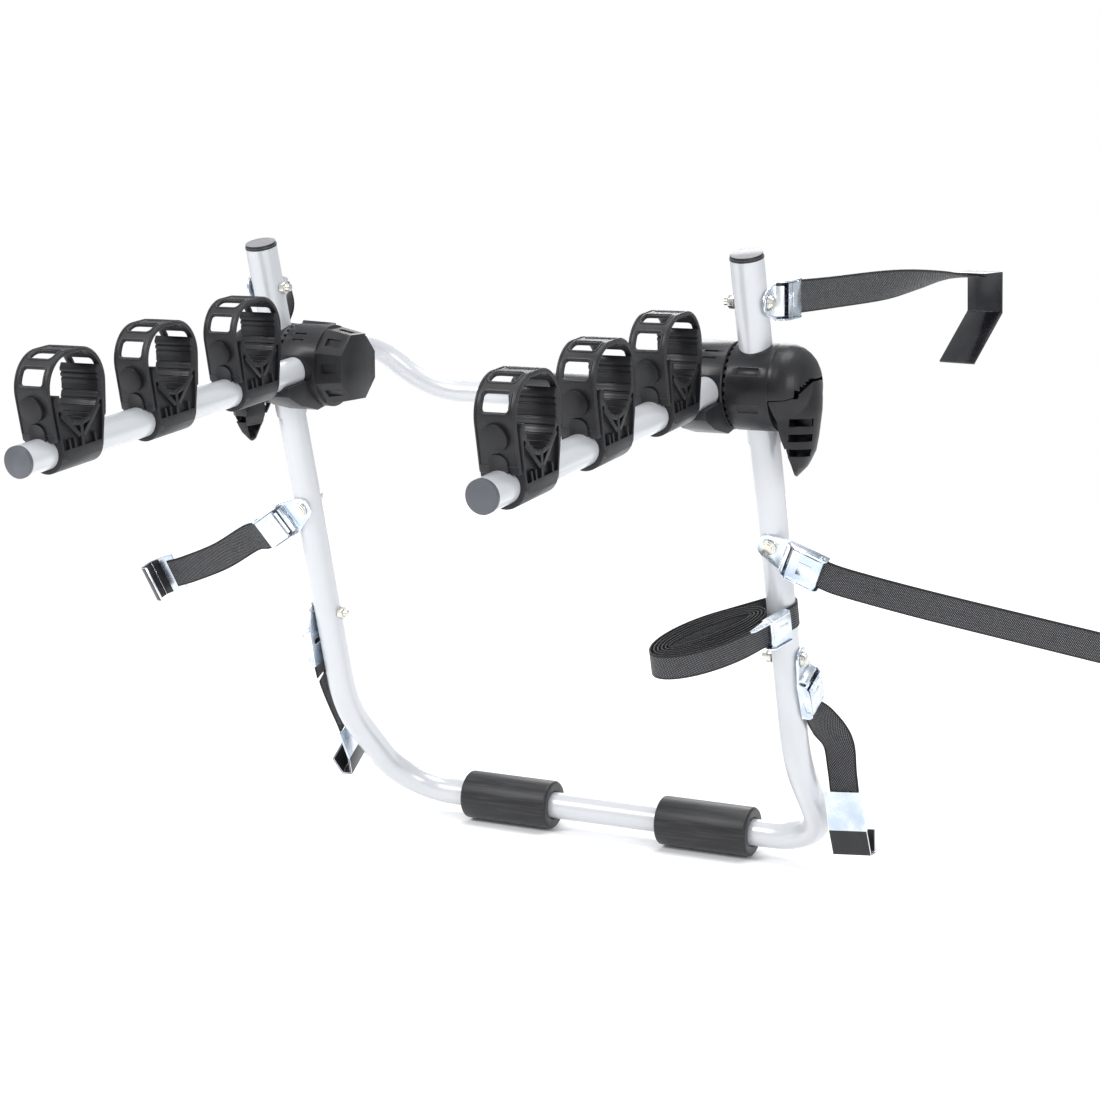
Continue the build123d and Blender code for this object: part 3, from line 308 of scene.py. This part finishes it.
platings = {
    "zincPlate": {"base": (0.56, 0.64, 0.74), "tint": (0.88, 0.92, 0.96), "rough": 0.25},
    # Brighter plating for the softened edges of buckles and hooks: a painted glint
    "zincPlateEdgeGlint": {"base": (0.86, 0.90, 0.95), "tint": (0.97, 0.98, 1.0), "rough": 0.2},
    "boltSteel": {"base": (0.66, 0.64, 0.58), "tint": (0.90, 0.88, 0.82), "rough": 0.24},
}
webbings = {"webbingWide": {"width": 35.0 * mm, "pitch": 2.0 * mm},
            "webbingNarrow": {"width": 28.0 * mm, "pitch": 1.8 * mm}}
silver, foam, rubber = silverPaint(), foamLook(), rubberLook()
charcoal, charcoalLightAndEdgeHighlight, leverInnerPaintedShade, capGrey, postGrey, capBlack, tipRubber, glossBlack = (
    moulded(name, **setting) for name, setting in mouldings.items())
zinc, zincEdgeGlint, boltSteel = (platedLook(name, **setting) for name, setting in platings.items())
webWide, webNarrow = (webbingLook(name, **setting) for name, setting in webbings.items())
print("materials made")


def smoothSplit(piece, angle=34.0):
    split = piece.modifiers.new("split", "EDGE_SPLIT")
    split.split_angle = math.radians(angle)
    split.use_edge_sharp = False


def soften(piece, width, segments=3, angle=35.0, material=-1):
    bevel = piece.modifiers.new("soften", "BEVEL")
    bevel.width = width
    bevel.segments = segments
    bevel.limit_method = "ANGLE"
    bevel.angle_limit = math.radians(angle)
    bevel.material = material


weldGap = 0.00001


def dress(node, materials, bevel):
    # a carried-over node: softened edges take the second material; on hubs, cradles, buckles and hooks it is
    # lighter, a painted edge highlight
    node.data.materials.clear()
    for material in materials:
        node.data.materials.append(material)
    for polygon in node.data.polygons:
        polygon.use_smooth = True
    weld = node.modifiers.new("weld", "WELD")
    weld.merge_threshold = weldGap
    if bevel:
        soften(node, bevel, segments=2, material=min(1, len(materials) - 1))
    smoothSplit(node)


def finishPiece(name, work, materials, body=None):
    bmesh.ops.recalc_face_normals(work, faces=work.faces)
    mesh = bpy.data.meshes.new(name)
    work.to_mesh(mesh)
    work.free()
    piece = bpy.data.objects.new(name, mesh)
    bpy.context.scene.collection.objects.link(piece)
    for material in materials:
        mesh.materials.append(material)
    for polygon in mesh.polygons:
        polygon.use_smooth = True
    if body:
        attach(piece, body)
    return piece


# What the carried-over nodes wear, found by how their names start, and the width of their softened edges
dressing = {
    ("lower_frame", "post_left", "post_right", "arm_left", "arm_right", "rear_bar"): ([silver], 0.0),
    ("hub_clamp_rods",): ([charcoalLightAndEdgeHighlight], 0.4 * mm),
    # the softened edges of hubs and cradles take the lighter plastic as a painted highlight
    ("hub",): ([charcoal, charcoalLightAndEdgeHighlight], 0.7 * mm),
    ("strap_bolts", "strap_nuts"): ([boltSteel], 0.5 * mm),
    ("cradle_left", "cradle_right"): ([charcoal, charcoalLightAndEdgeHighlight], 0.6 * mm),
    # the softened edges of buckles and hooks take the brighter plating as a painted glint
    ("buckle", "tie_buckle"): ([zinc, zincEdgeGlint], 0.35 * mm),
    ("arm_caps",): ([capGrey, capBlack], 1.2 * mm),
    ("post_caps",): ([postGrey, capBlack], 0.6 * mm),
    ("hook_top",): ([glossBlack], 0.5 * mm),
    ("hook",): ([zinc, zincEdgeGlint, tipRubber], 0.5 * mm),
}
topFacing = 0.8

for name, node in nodes.items():
    wear = next((wear for starts, wear in dressing.items() if name.startswith(starts)), None)
    if wear:
        dress(node, *wear)
for polygon in nodes["post_caps"].data.polygons:
    polygon.material_index = 0 if polygon.normal.dot(legUp) > topFacing else 1
print("frame nodes dressed")

# Foam sleeves and the pad of the rear bar, in millimetres: rings spun round the tube with soft lips
foamPieces = {
    "foamSleeveLeft": {"node": "foam_sleeves", "low": -191.0, "high": -73.0, "radius": 29.5, "bore": 16.6,
                       "body": "frame"},
    "foamSleeveRight": {"node": "foam_sleeves", "low": 73.0, "high": 191.0, "radius": 29.5, "bore": 16.6,
                        "body": "frame"},
    "foamRearPad": {"node": "rear_pad", "low": -70.0, "high": 70.0, "radius": 27.0, "bore": 13.6,
                    "body": "arm_frame"},
}
foamShape = {"lip": 3.2, "lipSteps": 5, "steps": 84}

for name, setting in foamPieces.items():
    low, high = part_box(setting["node"])
    centre = Vector((0, (low.y + high.y) / 2, (low.z + high.z) / 2))
    work = bmesh.new()
    corners = [work.verts.new(centre + Vector((setting[end], 0, setting[size])) * mm)
               for end, size in (("low", "bore"), ("low", "radius"), ("high", "radius"), ("high", "bore"))]
    edges = [work.edges.new((corners[k - 1], corners[k])) for k in range(len(corners))]
    bmesh.ops.spin(work, geom=corners + edges, cent=centre, axis=across, angle=2 * math.pi,
                   steps=foamShape["steps"], use_merge=True)
    piece = finishPiece(name, work, [foam], setting["body"])
    soften(piece, foamShape["lip"] * mm, foamShape["lipSteps"], angle=60.0)
    smoothSplit(piece, angle=50.0)
    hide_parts(setting["node"])
print("foam made")

# Rubber straps over the cradles, in millimetres: made flat with their windows, then bent round
bandSizes = {"frontReach": 36.5, "backReach": 39.5, "topReach": 47.5, "top": 95.0, "corner": 34.0,
             "front": 12.0, "back": 24.0, "half": 20.5, "thick": 4.0, "soft": 1.1, "round": 3.0, "row": 2.5,
             "loopSteps": 24, "armGap": 16.6, "notchCuts": 11, "footZone": 1.5, "footSlope": 0.5,
             "weld": 0.001, "cut": 0.0001, "stationStep": 0.25}
windowSizes = {"turns": (22.0, 62.0, 118.0, 158.0), "height": 60.0, "half": 13.0, "halfLong": 8.5,
               "round": 3.2}
beadSizes = {"near": 0.3, "wide": 1.9, "high": 0.8, "round": 0.35, "shoulder": 0.6, "root": -0.3,
             "endGap": 6.0}
latchSizes = {"height": 21.8, "radius": 9.5, "foot": 9.0, "high": 2.5, "sunk": 0.6, "rim": 1.5, "dip": 0.8,
              "steps": 40, "square": 0.35, "flat": 6, "soft": 0.7}
studSizes = {"front": 46.0, "frontHole": 8.8, "back": 36.0, "backHole": 4.4, "cornerLess": 0.01}


def bandRuns():
    # straight runs and turns from the front foot over the top to the rear foot, as length and rate of turn
    reach, top, radius = bandSizes["topReach"], bandSizes["top"], bandSizes["corner"]
    corners = [Vector(spot) for spot in ((bandSizes["frontReach"], bandSizes["front"]), (reach, top),
                                         (-reach, top), (-bandSizes["backReach"], bandSizes["back"]))]
    steps = [after - before for before, after in zip(corners, corners[1:])]
    headings = [math.atan2(step.y, step.x) for step in steps]
    turns = [(after - before) % (2 * math.pi) for before, after in zip(headings, headings[1:])]
    cuts = [0.0] + [radius * math.tan(turn / 2) for turn in turns] + [0.0]
    runs = []
    for index, step in enumerate(steps):
        runs.append((step.length - cuts[index] - cuts[index + 1], 0.0))
        if index < len(turns):
            runs.append((radius * turns[index], 1 / radius))
    return corners[0], headings[0], runs


bandStart, bandHeading, bandParts = bandRuns()
bandLength = sum(length for length, _ in bandParts)


def bandSpot(distance):
    # point on the middle of the band as front and up, and the direction out of it
    spot, heading = bandStart, bandHeading
    for length, rate in bandParts:
        step = min(distance, length)
        if rate:
            centre = spot + Vector((-math.sin(heading), math.cos(heading))) / rate
            heading += rate * step
            spot = centre + Vector((math.sin(heading), -math.cos(heading))) / rate
        else:
            spot = spot + Vector((math.cos(heading), math.sin(heading))) * step
        distance -= step
        if distance <= 0:
            break
    return spot, Vector((math.sin(heading), -math.cos(heading)))


def bandStation(test):
    # distance along the band where a test value is least
    step = bandSizes["stationStep"]
    places = [k * step for k in range(int(bandLength / step))]
    return min(places, key=lambda distance: test(bandSpot(distance)[0]))


def softLoop(work, shape, grow, height):
    # a rounded rectangle made from a circle drawn apart
    centre, half, halfLong, corner = shape
    steps = bandSizes["loopSteps"]
    turn = Matrix.Rotation(math.pi / steps, 4, "Z")
    circle = bmesh.ops.create_circle(work, cap_ends=False, segments=steps, radius=corner + grow, matrix=turn)
    verts = circle["verts"]
    for vert in verts:
        vert.co.x += math.copysign(half - corner, vert.co.x)
        vert.co.y += centre + math.copysign(halfLong - corner, vert.co.y)
        vert.co.z = height
    return list({edge for vert in verts for edge in vert.link_edges})


def stack(work, rings):
    for low, high in zip(rings, rings[1:]):
        bmesh.ops.bridge_loops(work, edges=low + high)


def notch(work, edges):
    # more points at the foot, which follows the tube under it
    foot = min(edges, key=lambda edge: sum(vert.co.y for vert in edge.verts))
    grown = bmesh.ops.subdivide_edges(work, edges=[foot], cuts=bandSizes["notchCuts"])
    added = [part for part in grown["geom"] if isinstance(part, bmesh.types.BMEdge)]
    verts = {vert for part in edges + added if part.is_valid for vert in part.verts}
    return list({edge for vert in verts for edge in vert.link_edges})


def bandLevels():
    # heights through the band and how far each is drawn in, round at both faces
    thick, softness = bandSizes["thick"], bandSizes["soft"]
    levels = []
    for turn in (0, 45, 90):
        pull = softness * (1 - math.sin(math.radians(turn)))
        high = thick / 2 - softness * (1 - math.cos(math.radians(turn)))
        levels += [(-high, pull), (high, pull)]
    return sorted(levels)


def bandShapes():
    # the outline, the windows and the stud holes, as place along, half width, half length and corner
    height, stations = windowSizes["height"], []
    for turn in windowSizes["turns"]:
        aim = math.radians(turn)
        stations.append(bandStation(lambda spot: abs(math.atan2(spot.y - height, spot.x) - aim)))
    frontStud = bandStation(lambda spot: (spot.x < 0, abs(spot.y - studSizes["front"])))
    backStud = bandStation(lambda spot: (spot.x > 0, abs(spot.y - studSizes["back"])))
    outline = (bandLength / 2, bandSizes["half"], bandLength / 2, bandSizes["round"])
    window = (windowSizes["half"], windowSizes["halfLong"], windowSizes["round"])
    holes = [(place, size, size, size - studSizes["cornerLess"])
             for place, size in ((frontStud, studSizes["frontHole"]), (backStud, studSizes["backHole"]))]
    return outline, [(place, *window) for place in stations], holes


def bead(work, shape, sign):
    # a raised rim that follows a shape
    near, far, high = beadSizes["near"], beadSizes["near"] + beadSizes["wide"], beadSizes["high"]
    small, shoulder, root = beadSizes["round"], high * beadSizes["shoulder"], beadSizes["root"]
    profile = ((near, root), (near, shoulder), (near + small, high), (far - small, high), (far, shoulder),
               (far, root))
    start, surface = bandSizes["soft"] / 2, bandSizes["thick"] / 2
    rings = [softLoop(work, shape, sign * (grow + start), surface + rise) for grow, rise in profile]
    stack(work, rings + rings[:1])


def bend(work):
    for vert in work.verts:
        along = vert.co.y
        spot, out = bandSpot(min(max(along, 0.0), bandLength))
        place = spot + out * vert.co.z
        if along < bandSizes["footZone"]:
            clear = math.sqrt(max(bandSizes["armGap"] ** 2 - vert.co.x ** 2, 0.0))
            place.y = max(place.y, clear + along * bandSizes["footSlope"])
        vert.co = Vector((vert.co.x, -place.x, place.y))


def bandMesh():
    work = bmesh.new()
    outline, windows, holes = bandShapes()
    levels = bandLevels()
    outer = [notch(work, softLoop(work, outline, -pull, height)) for height, pull in levels]
    inner = [[softLoop(work, shape, pull, height) for height, pull in levels] for shape in windows + holes]
    for index in (0, -1):
        rims = outer[index] + [edge for rings in inner for edge in rings[index]]
        bmesh.ops.triangle_fill(work, use_beauty=True, edges=rims)
    for rings in [outer] + inner:
        stack(work, rings)
    for shape in windows:
        bead(work, shape, 1)
    place, half, halfLong, corner = outline
    bead(work, (place, half, halfLong - beadSizes["endGap"], corner), -1)
    bmesh.ops.remove_doubles(work, verts=work.verts, dist=bandSizes["weld"])
    count = int(bandLength / bandSizes["row"])
    for step in range(1, count):
        bmesh.ops.bisect_plane(work, geom=work.verts[:] + work.edges[:] + work.faces[:],
                               dist=bandSizes["cut"], plane_co=(0, bandLength * step / count, 0),
                               plane_no=(0, 1, 0))
    bend(work)
    return work


def latchMesh():
    # half-round boss below the stud, its rim raised
    work = bmesh.new()
    radius, square = latchSizes["radius"], latchSizes["square"]
    spot, out = bandSpot(bandStation(lambda place: (place.x < 0, abs(place.y - latchSizes["height"]))))
    rise = Vector((-out.y, out.x))
    circle = bmesh.ops.create_circle(work, cap_ends=True, segments=latchSizes["steps"], radius=radius)
    for vert in circle["verts"]:
        if vert.co.y < 0:
            share = min(-vert.co.y / radius, 1.0)
            vert.co.y = -latchSizes["foot"] * share ** square
            vert.co.x = math.copysign(radius * (1 - share ** latchSizes["flat"]) ** square, vert.co.x)
    raised = bmesh.ops.extrude_face_region(work, geom=work.faces[:])["geom"]
    moved = [part for part in raised if isinstance(part, bmesh.types.BMVert)]
    bmesh.ops.translate(work, verts=moved, vec=(0, 0, latchSizes["high"] + latchSizes["sunk"]))
    top = [part for part in raised if isinstance(part, bmesh.types.BMFace)]
    bmesh.ops.inset_region(work, faces=top, thickness=latchSizes["rim"], depth=-latchSizes["dip"])
    for vert in work.verts:
        place = spot + rise * vert.co.y + out * (bandSizes["thick"] / 2 - latchSizes["sunk"] + vert.co.z)
        vert.co = Vector((vert.co.x, -place.x, place.y))
    return work


def placed(work, origin):
    # from millimetres in the arm's own directions to the frame
    copy = work.copy()
    turn = Matrix((across, armBack, armUp)).transposed().to_4x4()
    lay = Matrix.Translation(origin) @ turn @ Matrix.Scale(mm, 4)
    bmesh.ops.transform(copy, matrix=lay, verts=copy.verts)
    return copy


bandWork, latchWork = bandMesh(), latchMesh()
for label in sides.values():
    for number in (1, 2, 3):
        tag = label + "_" + str(number)
        origin = Vector(joints["cradle_swivel_" + tag]["pos_m"])
        body = "cradle_" + tag + "_body"
        band = finishPiece("cradleStrap_" + tag, placed(bandWork, origin), [rubber], body)
        smoothSplit(band, angle=50.0)
        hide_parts("cradle_strap_" + tag)
        latch = finishPiece("cradleLatch_" + tag, placed(latchWork, origin), [rubber], body)
        soften(latch, latchSizes["soft"] * mm)
        smoothSplit(latch, angle=40.0)
bandWork.free()
latchWork.free()
print("cradle straps made")

# Webs inside the release levers, in millimetres, seen through their slots; their plastic is darker than the
# lever's, a painted shade in the recess
coreSizes = {"top": -27.0, "bottom": -72.0, "soft": 0.3}
corePlates = {
    "back": {"near": 333.0, "far": 334.6, "farLow": 334.6, "half": 25.0, "halfLow": 9.0},
    "middle": {"near": 333.0, "far": 357.0, "farLow": 349.08, "half": 0.8, "halfLow": 0.8},
}

for side, label in sides.items():
    work = bmesh.new()
    for plate in corePlates.values():
        for vert in bmesh.ops.create_cube(work, size=2.0)["verts"]:
            level, low = ("top", "") if vert.co.z > 0 else ("bottom", "Low")
            depth = plate["far" + low] if vert.co.x > 0 else plate["near"]
            vert.co = Vector((side * depth, plate["half" + low] * vert.co.y, coreSizes[level])) * mm
    core = finishPiece("leverCore_" + label, work, [leverInnerPaintedShade], "lever_" + label)
    soften(core, coreSizes["soft"] * mm, segments=2)
print("lever cores made")


# Webbing: a smooth strip through the same points as the part
stripSizes = {"width": 35.0 * mm, "thick": 1.8 * mm, "lift": 3.4 * mm, "start": 42.0 * mm, "exit": 68.0 * mm,
              "gap": 4.0 * mm, "columns": 6, "edgeShare": 0.3}


def catmull(points, share, index):
    # between two points, on a smooth curve through all of them
    a, b, c, d = (points[min(max(index + k, 0), len(points) - 1)] for k in (-1, 0, 1, 2))
    return 0.5 * ((2 * b) + (c - a) * share + (2 * a - 5 * b + 4 * c - d) * share ** 2
                  + (3 * b - a - 3 * c + d) * share ** 3)


def refine(points, wides, gap):
    finePoints, fineWides = [], []
    for index in range(len(points) - 1):
        count = max(2, round((points[index + 1] - points[index]).length / gap))
        for k in range(count):
            finePoints.append(catmull(points, k / count, index))
            fineWides.append(catmull(wides, k / count, index).normalized())
    return finePoints + [points[-1]], fineWides + [wides[-1].normalized()]


def strip(name, points, wides, width, thick, materials, body):
    # a flat grid laid along the points, its UV in metres across and along
    places = [0.0]
    for before, after in zip(points, points[1:]):
        places.append(places[-1] + (after - before).length)
    rows = len(points) - 1
    work = bmesh.new()
    bmesh.ops.create_grid(work, x_segments=stripSizes["columns"], y_segments=rows, size=0.5)
    layer = work.loops.layers.uv.new("weave")
    for face in work.faces:
        for loop in face.loops:
            row = round((loop.vert.co.y + 0.5) * rows)
            loop[layer].uv = ((loop.vert.co.x + 0.5) * width, places[row])
    for vert in work.verts:
        row = round((vert.co.y + 0.5) * rows)
        ahead = (points[min(row + 1, rows)] - points[max(row - 1, 0)]).normalized()
        wide = (wides[row] - ahead * wides[row].dot(ahead)).normalized()
        vert.co = points[row] + wide * vert.co.x * width
    piece = finishPiece(name, work, materials, body)
    thicken = piece.modifiers.new("thicken", "SOLIDIFY")
    thicken.thickness = thick
    thicken.offset = 0.0
    soften(piece, thick * stripSizes["edgeShare"], segments=2, angle=60.0)
    return piece, places[-1]


# Where the straps run, in millimetres: their first numbers are measured outwards from the leg
legSizes = {"post": 293.0, "bar": 285.0, "kink": -430.0, "foot": -558.0}
runs = {
    "top_right": {"points": ((34.0, 98.0, 91.5), (57.0, 206.0, 94.0), (79.0, 306.0, 96.0),
                             (98.0, 380.0, 96.8), (103.5, 402.0, 97.0)),
                  "wides": ((0.15, 0.0, 1.0), (0.25, 0.0, 1.0), (0.75, -0.15, 0.6), (0.98, -0.2, 0.0),
                            (0.98, -0.2, 0.0))},
    "top_left": {"points": ((37.0, 62.0, 68.0), (57.0, 78.0, 50.0), (64.0, 84.0, 20.0), (65.0, 85.0, -5.0)),
                 "wides": ((-0.6, 0.1, -0.8), (-1.0, 0.0, -0.2), (-1.0, 0.0, 0.0), (-1.0, 0.0, 0.0))},
    "side_right": {"points": ((88.0, 44.0, -209.0), (167.0, 48.0, -224.0), (287.0, 54.0, -244.0),
                              (391.0, 59.0, -261.0)),
                   "wides": ((0.1, -0.28, 0.95),) * 4},
    "side_left": {"points": ((79.0, 47.0, -215.0), (128.0, 55.0, -242.0), (177.0, 59.0, -262.0),
                             (205.0, 61.0, -271.0)),
                  "wides": ((0.3, 0.28, -0.95), (0.3, 0.28, -0.95), (0.25, 0.28, -0.95), (0.2, 0.28, -0.95))},
    "low_right": {"points": ((26.0, 138.0, -384.0), (36.0, 160.0, -411.0), (39.0, 170.0, -446.0),
                             (45.0, 174.0, -484.0)),
                  "wides": ((0.5, 0.7, 0.4), (0.95, 0.3, 0.1), (1.0, 0.0, 0.0), (1.0, 0.0, 0.0))},
    "low_left": {"points": ((22.0, 122.0, -396.0), (24.0, 142.0, -424.0), (27.0, 162.0, -450.0),
                            (30.0, 176.0, -470.0)),
                 "wides": ((0.0, 0.85, 0.5), (0.0, 0.8, 0.6), (0.0, 0.8, 0.6), (0.0, 0.8, 0.6))},
}


def runPoints(spot):
    # the free run of a strap; the legs draw together below the kink
    side = 1 if spot.endswith("right") else -1
    points = []
    for x, y, z in runs[spot]["points"]:
        share = min(max((legSizes["kink"] - z) / (legSizes["kink"] - legSizes["foot"]), 0.0), 1.0)
        leg = legSizes["post"] + (legSizes["bar"] - legSizes["post"]) * share
        points.append(Vector((side * (leg + x), y, z)) * mm)
    return points


for spot in spots:
    swivel = joints["strap_swivel_" + spot]
    origin, out = Vector(swivel["pos_m"]), Vector(swivel["axis"])
    wide = Vector(joints["cam_lever_" + spot]["axis"])
    along = wide.cross(out)
    points = [origin + out * stripSizes["lift"] + along * stripSizes[end] for end in ("start", "exit")]
    wides = [wide, wide] + [Vector(w) for w in runs[spot]["wides"]]
    points, wides = refine(points + runPoints(spot), wides, stripSizes["gap"])
    piece, length = strip("webbing_strip_" + spot, points, wides, stripSizes["width"], stripSizes["thick"],
                          [webWide], "strap_" + spot)
    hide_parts("webbing_" + spot)
print("webbing made")

# Tie strap, in millimetres: the same coil as the part, wound round the right leg
tieSizes = {"width": 28.0, "thick": 1.8, "pitch": 4.4, "turns": 5, "up": -263.0, "slack": 0.4,
            "legRadius": 16.0, "end": 16.0, "centre": 92.5, "long": 49.6, "wide": 8.1, "sway": 0.35,
            "swayRate": 1.37, "heading": (-0.532, -0.821, -0.206)}
tieSteps = {"coil": 360, "pull": 12, "loop": 48, "join": 8, "outer": 90, "angle": 0.002}
legCentre = Vector((legSizes["post"] * mm, 0, 0)) + legUp * tieSizes["up"] * mm
tieOut = Vector(tieSizes["heading"])
tieOut = (tieOut - legUp * tieOut.dot(legUp)).normalized()
tieSide = legUp.cross(tieOut)


def coilPoint(angle):
    grow = tieSizes["pitch"] * angle / (2 * math.pi)
    sway = tieSizes["sway"] * math.sin(angle * tieSizes["swayRate"]) * math.sin(angle) * math.sin(angle)
    return Vector((tieSizes["centre"] + (tieSizes["long"] + grow) * math.cos(angle),
                   (tieSizes["wide"] + grow + sway) * math.sin(angle)))


def coilHeading(angle):
    return (coilPoint(angle + tieSteps["angle"]) - coilPoint(angle - tieSteps["angle"])).normalized()


def miss(angle):
    return abs(coilPoint(angle).cross(coilHeading(angle)))


def between(first, last, count):
    return [first.lerp(last, k / count) for k in range(1, count)]


def tieLine():
    # inner turns, the pull to the leg, round it, the outer turn and the pull into the buckle
    loop = tieSizes["legRadius"] + tieSizes["slack"] + tieSizes["thick"] / 2
    base = 2 * math.pi * tieSizes["turns"]
    offsets = [k * tieSteps["angle"] for k in range(int(math.pi / tieSteps["angle"]))]
    leave = next(angle for angle in (base + offset for offset in offsets)
                 if coilHeading(angle).x < 0 and miss(angle) < loop and coilPoint(angle).y > 0)
    join = next(angle for angle in (base + 2 * math.pi - offset for offset in offsets)
                if coilHeading(angle).x > 0 and miss(angle) < loop and coilPoint(angle).y < 0)
    goes, comes = coilHeading(leave), coilHeading(join)
    first = math.atan2(goes.y, goes.x) - math.pi / 2
    last = math.atan2(comes.y, comes.x) - math.pi / 2
    last += 2 * math.pi * (last < first)
    start = Vector((math.cos(first), math.sin(first))) * loop
    line = [coilPoint(leave * k / tieSteps["coil"]) for k in range(tieSteps["coil"] + 1)]
    line += between(coilPoint(leave), start, tieSteps["pull"])
    turns = [first + (last - first) * k / tieSteps["loop"] for k in range(tieSteps["loop"] + 1)]
    line += [Vector((math.cos(turn), math.sin(turn))) * loop for turn in turns]
    line += between(line[-1], coilPoint(join), tieSteps["join"])
    finish = leave + 2 * math.pi
    line += [coilPoint(join + (finish - join) * k / tieSteps["outer"]) for k in range(tieSteps["outer"] + 1)]
    end = line[-1]
    tip = end + goes * ((end - start).length - tieSizes["end"])
    return line + between(end, tip, tieSteps["pull"]) + [tip]


tiePoints = [legCentre + tieOut * spot.x * mm + tieSide * spot.y * mm for spot in tieLine()]
tie, tieLength = strip("tie_strip", tiePoints, [legUp] * len(tiePoints), tieSizes["width"] * mm,
                       tieSizes["thick"] * mm, [webNarrow], "frame")
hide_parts("tie_strap")
print("tie strap made", round(tieLength, 3))

# Hooks: the far folds of the side and low ones are rubber, past these distances from the webbing's end
rubberPast = {"side": 14.0 * mm, "low": 30.0 * mm}

for spot in spots:
    level = spot.split("_")[0]
    if level in rubberPast:
        run = runPoints(spot)
        ahead = (run[-1] - run[-2]).normalized()
        for polygon in nodes["hook_" + spot].data.polygons:
            if (polygon.center - run[-1]).dot(ahead) > rubberPast[level]:
                polygon.material_index = 2
print("hooks dressed")

# Stage, light and camera, in metres
floorSizes = {"radius": 3.2, "segments": 96, "below": 2.0 * mm, "dark": (0.95, 0.95, 0.95),
              "light": (0.97, 0.97, 0.97), "cloudScale": 3.0, "rough": 0.9, "shine": 0.2}
skies = {"soft": {"Color": (0.95, 0.97, 1.0, 1.0), "Strength": 0.62},
         "pale": {"Color": (1.0, 1.0, 1.0, 1.0), "Strength": 1.0}}
lights = {
    "keyLight": {"place": (-1.6, -3.0, 2.6), "aim": (0, 0, -0.2), "size": 1.4, "power": 105.0},
    "fillLight": {"place": (3.0, -2.0, 1.0), "aim": (0, 0, -0.2), "size": 1.6, "power": 45.0},
    "topLight": {"place": (0.2, 0.4, 3.2), "aim": (0, 0, -0.2), "size": 2.0, "power": 75.0},
    "backLight": {"place": (-1.0, 3.4, 1.6), "aim": (0, 0, 0.0), "size": 1.6, "power": 45.0},
}
cameraSizes = {"place": (1.2327, -2.3441, 0.2533), "azimuth": 26.78, "elevation": 9.6, "sensor": 36.0,
               "lens": 79.63, "near": 0.05, "far": 60.0}
scene = bpy.context.scene

floorLook = Look("floorPaper", {"Roughness": floorSizes["rough"], "Specular IOR Level": floorSizes["shine"]})
cloud = floorLook.noise(floorSizes["cloudScale"])
floorLook.feed("Base Color", floorLook.blend(cloud, floorSizes["dark"], floorSizes["light"]))
work = bmesh.new()
bmesh.ops.create_circle(work, cap_ends=True, segments=floorSizes["segments"], radius=floorSizes["radius"],
                        matrix=Matrix.Translation((0, 0, cadLow.z - floorSizes["below"])))
finishPiece("floor", work, [floorLook.material])

world = bpy.data.worlds.new("studio")
scene.world = world
world.use_nodes = True
world.node_tree.nodes.clear()
sky = NodeTree(world.node_tree)
soft, pale = (sky.make("ShaderNodeBackground", {}, values) for values in skies.values())
straight, through = (sky.make("ShaderNodeLightPath", {}, {}, name)
                     for name in ("Is Camera Ray", "Is Transmission Ray"))
seen = straight.math("MAXIMUM", straight, through)
mixed = sky.make("ShaderNodeMixShader", {}, {0: seen, 1: soft, 2: pale})
sky.make("ShaderNodeOutputWorld", {}, {"Surface": mixed}, None)

for name, setting in lights.items():
    data = bpy.data.lights.new(name, "AREA")
    data.size = setting["size"]
    data.energy = setting["power"]
    lamp = bpy.data.objects.new(name, data)
    lamp.location = setting["place"]
    aim = Vector(setting["aim"]) - Vector(setting["place"])
    lamp.rotation_euler = aim.to_track_quat("-Z", "Y").to_euler()
    scene.collection.objects.link(lamp)

azimuth, elevation = math.radians(cameraSizes["azimuth"]), math.radians(cameraSizes["elevation"])
lookAlong = Vector((-math.sin(azimuth) * math.cos(elevation), math.cos(azimuth) * math.cos(elevation),
                    -math.sin(elevation)))
camera = bpy.data.objects.new("camera", bpy.data.cameras.new("camera"))
camera.location = cameraSizes["place"]
camera.rotation_euler = lookAlong.to_track_quat("-Z", "Y").to_euler()
camera.data.sensor_width = cameraSizes["sensor"]
camera.data.lens = cameraSizes["lens"]
camera.data.clip_start = cameraSizes["near"]
camera.data.clip_end = cameraSizes["far"]
scene.collection.objects.link(camera)
scene.camera = camera
scene.view_settings.view_transform = "Standard"
print("stage made")
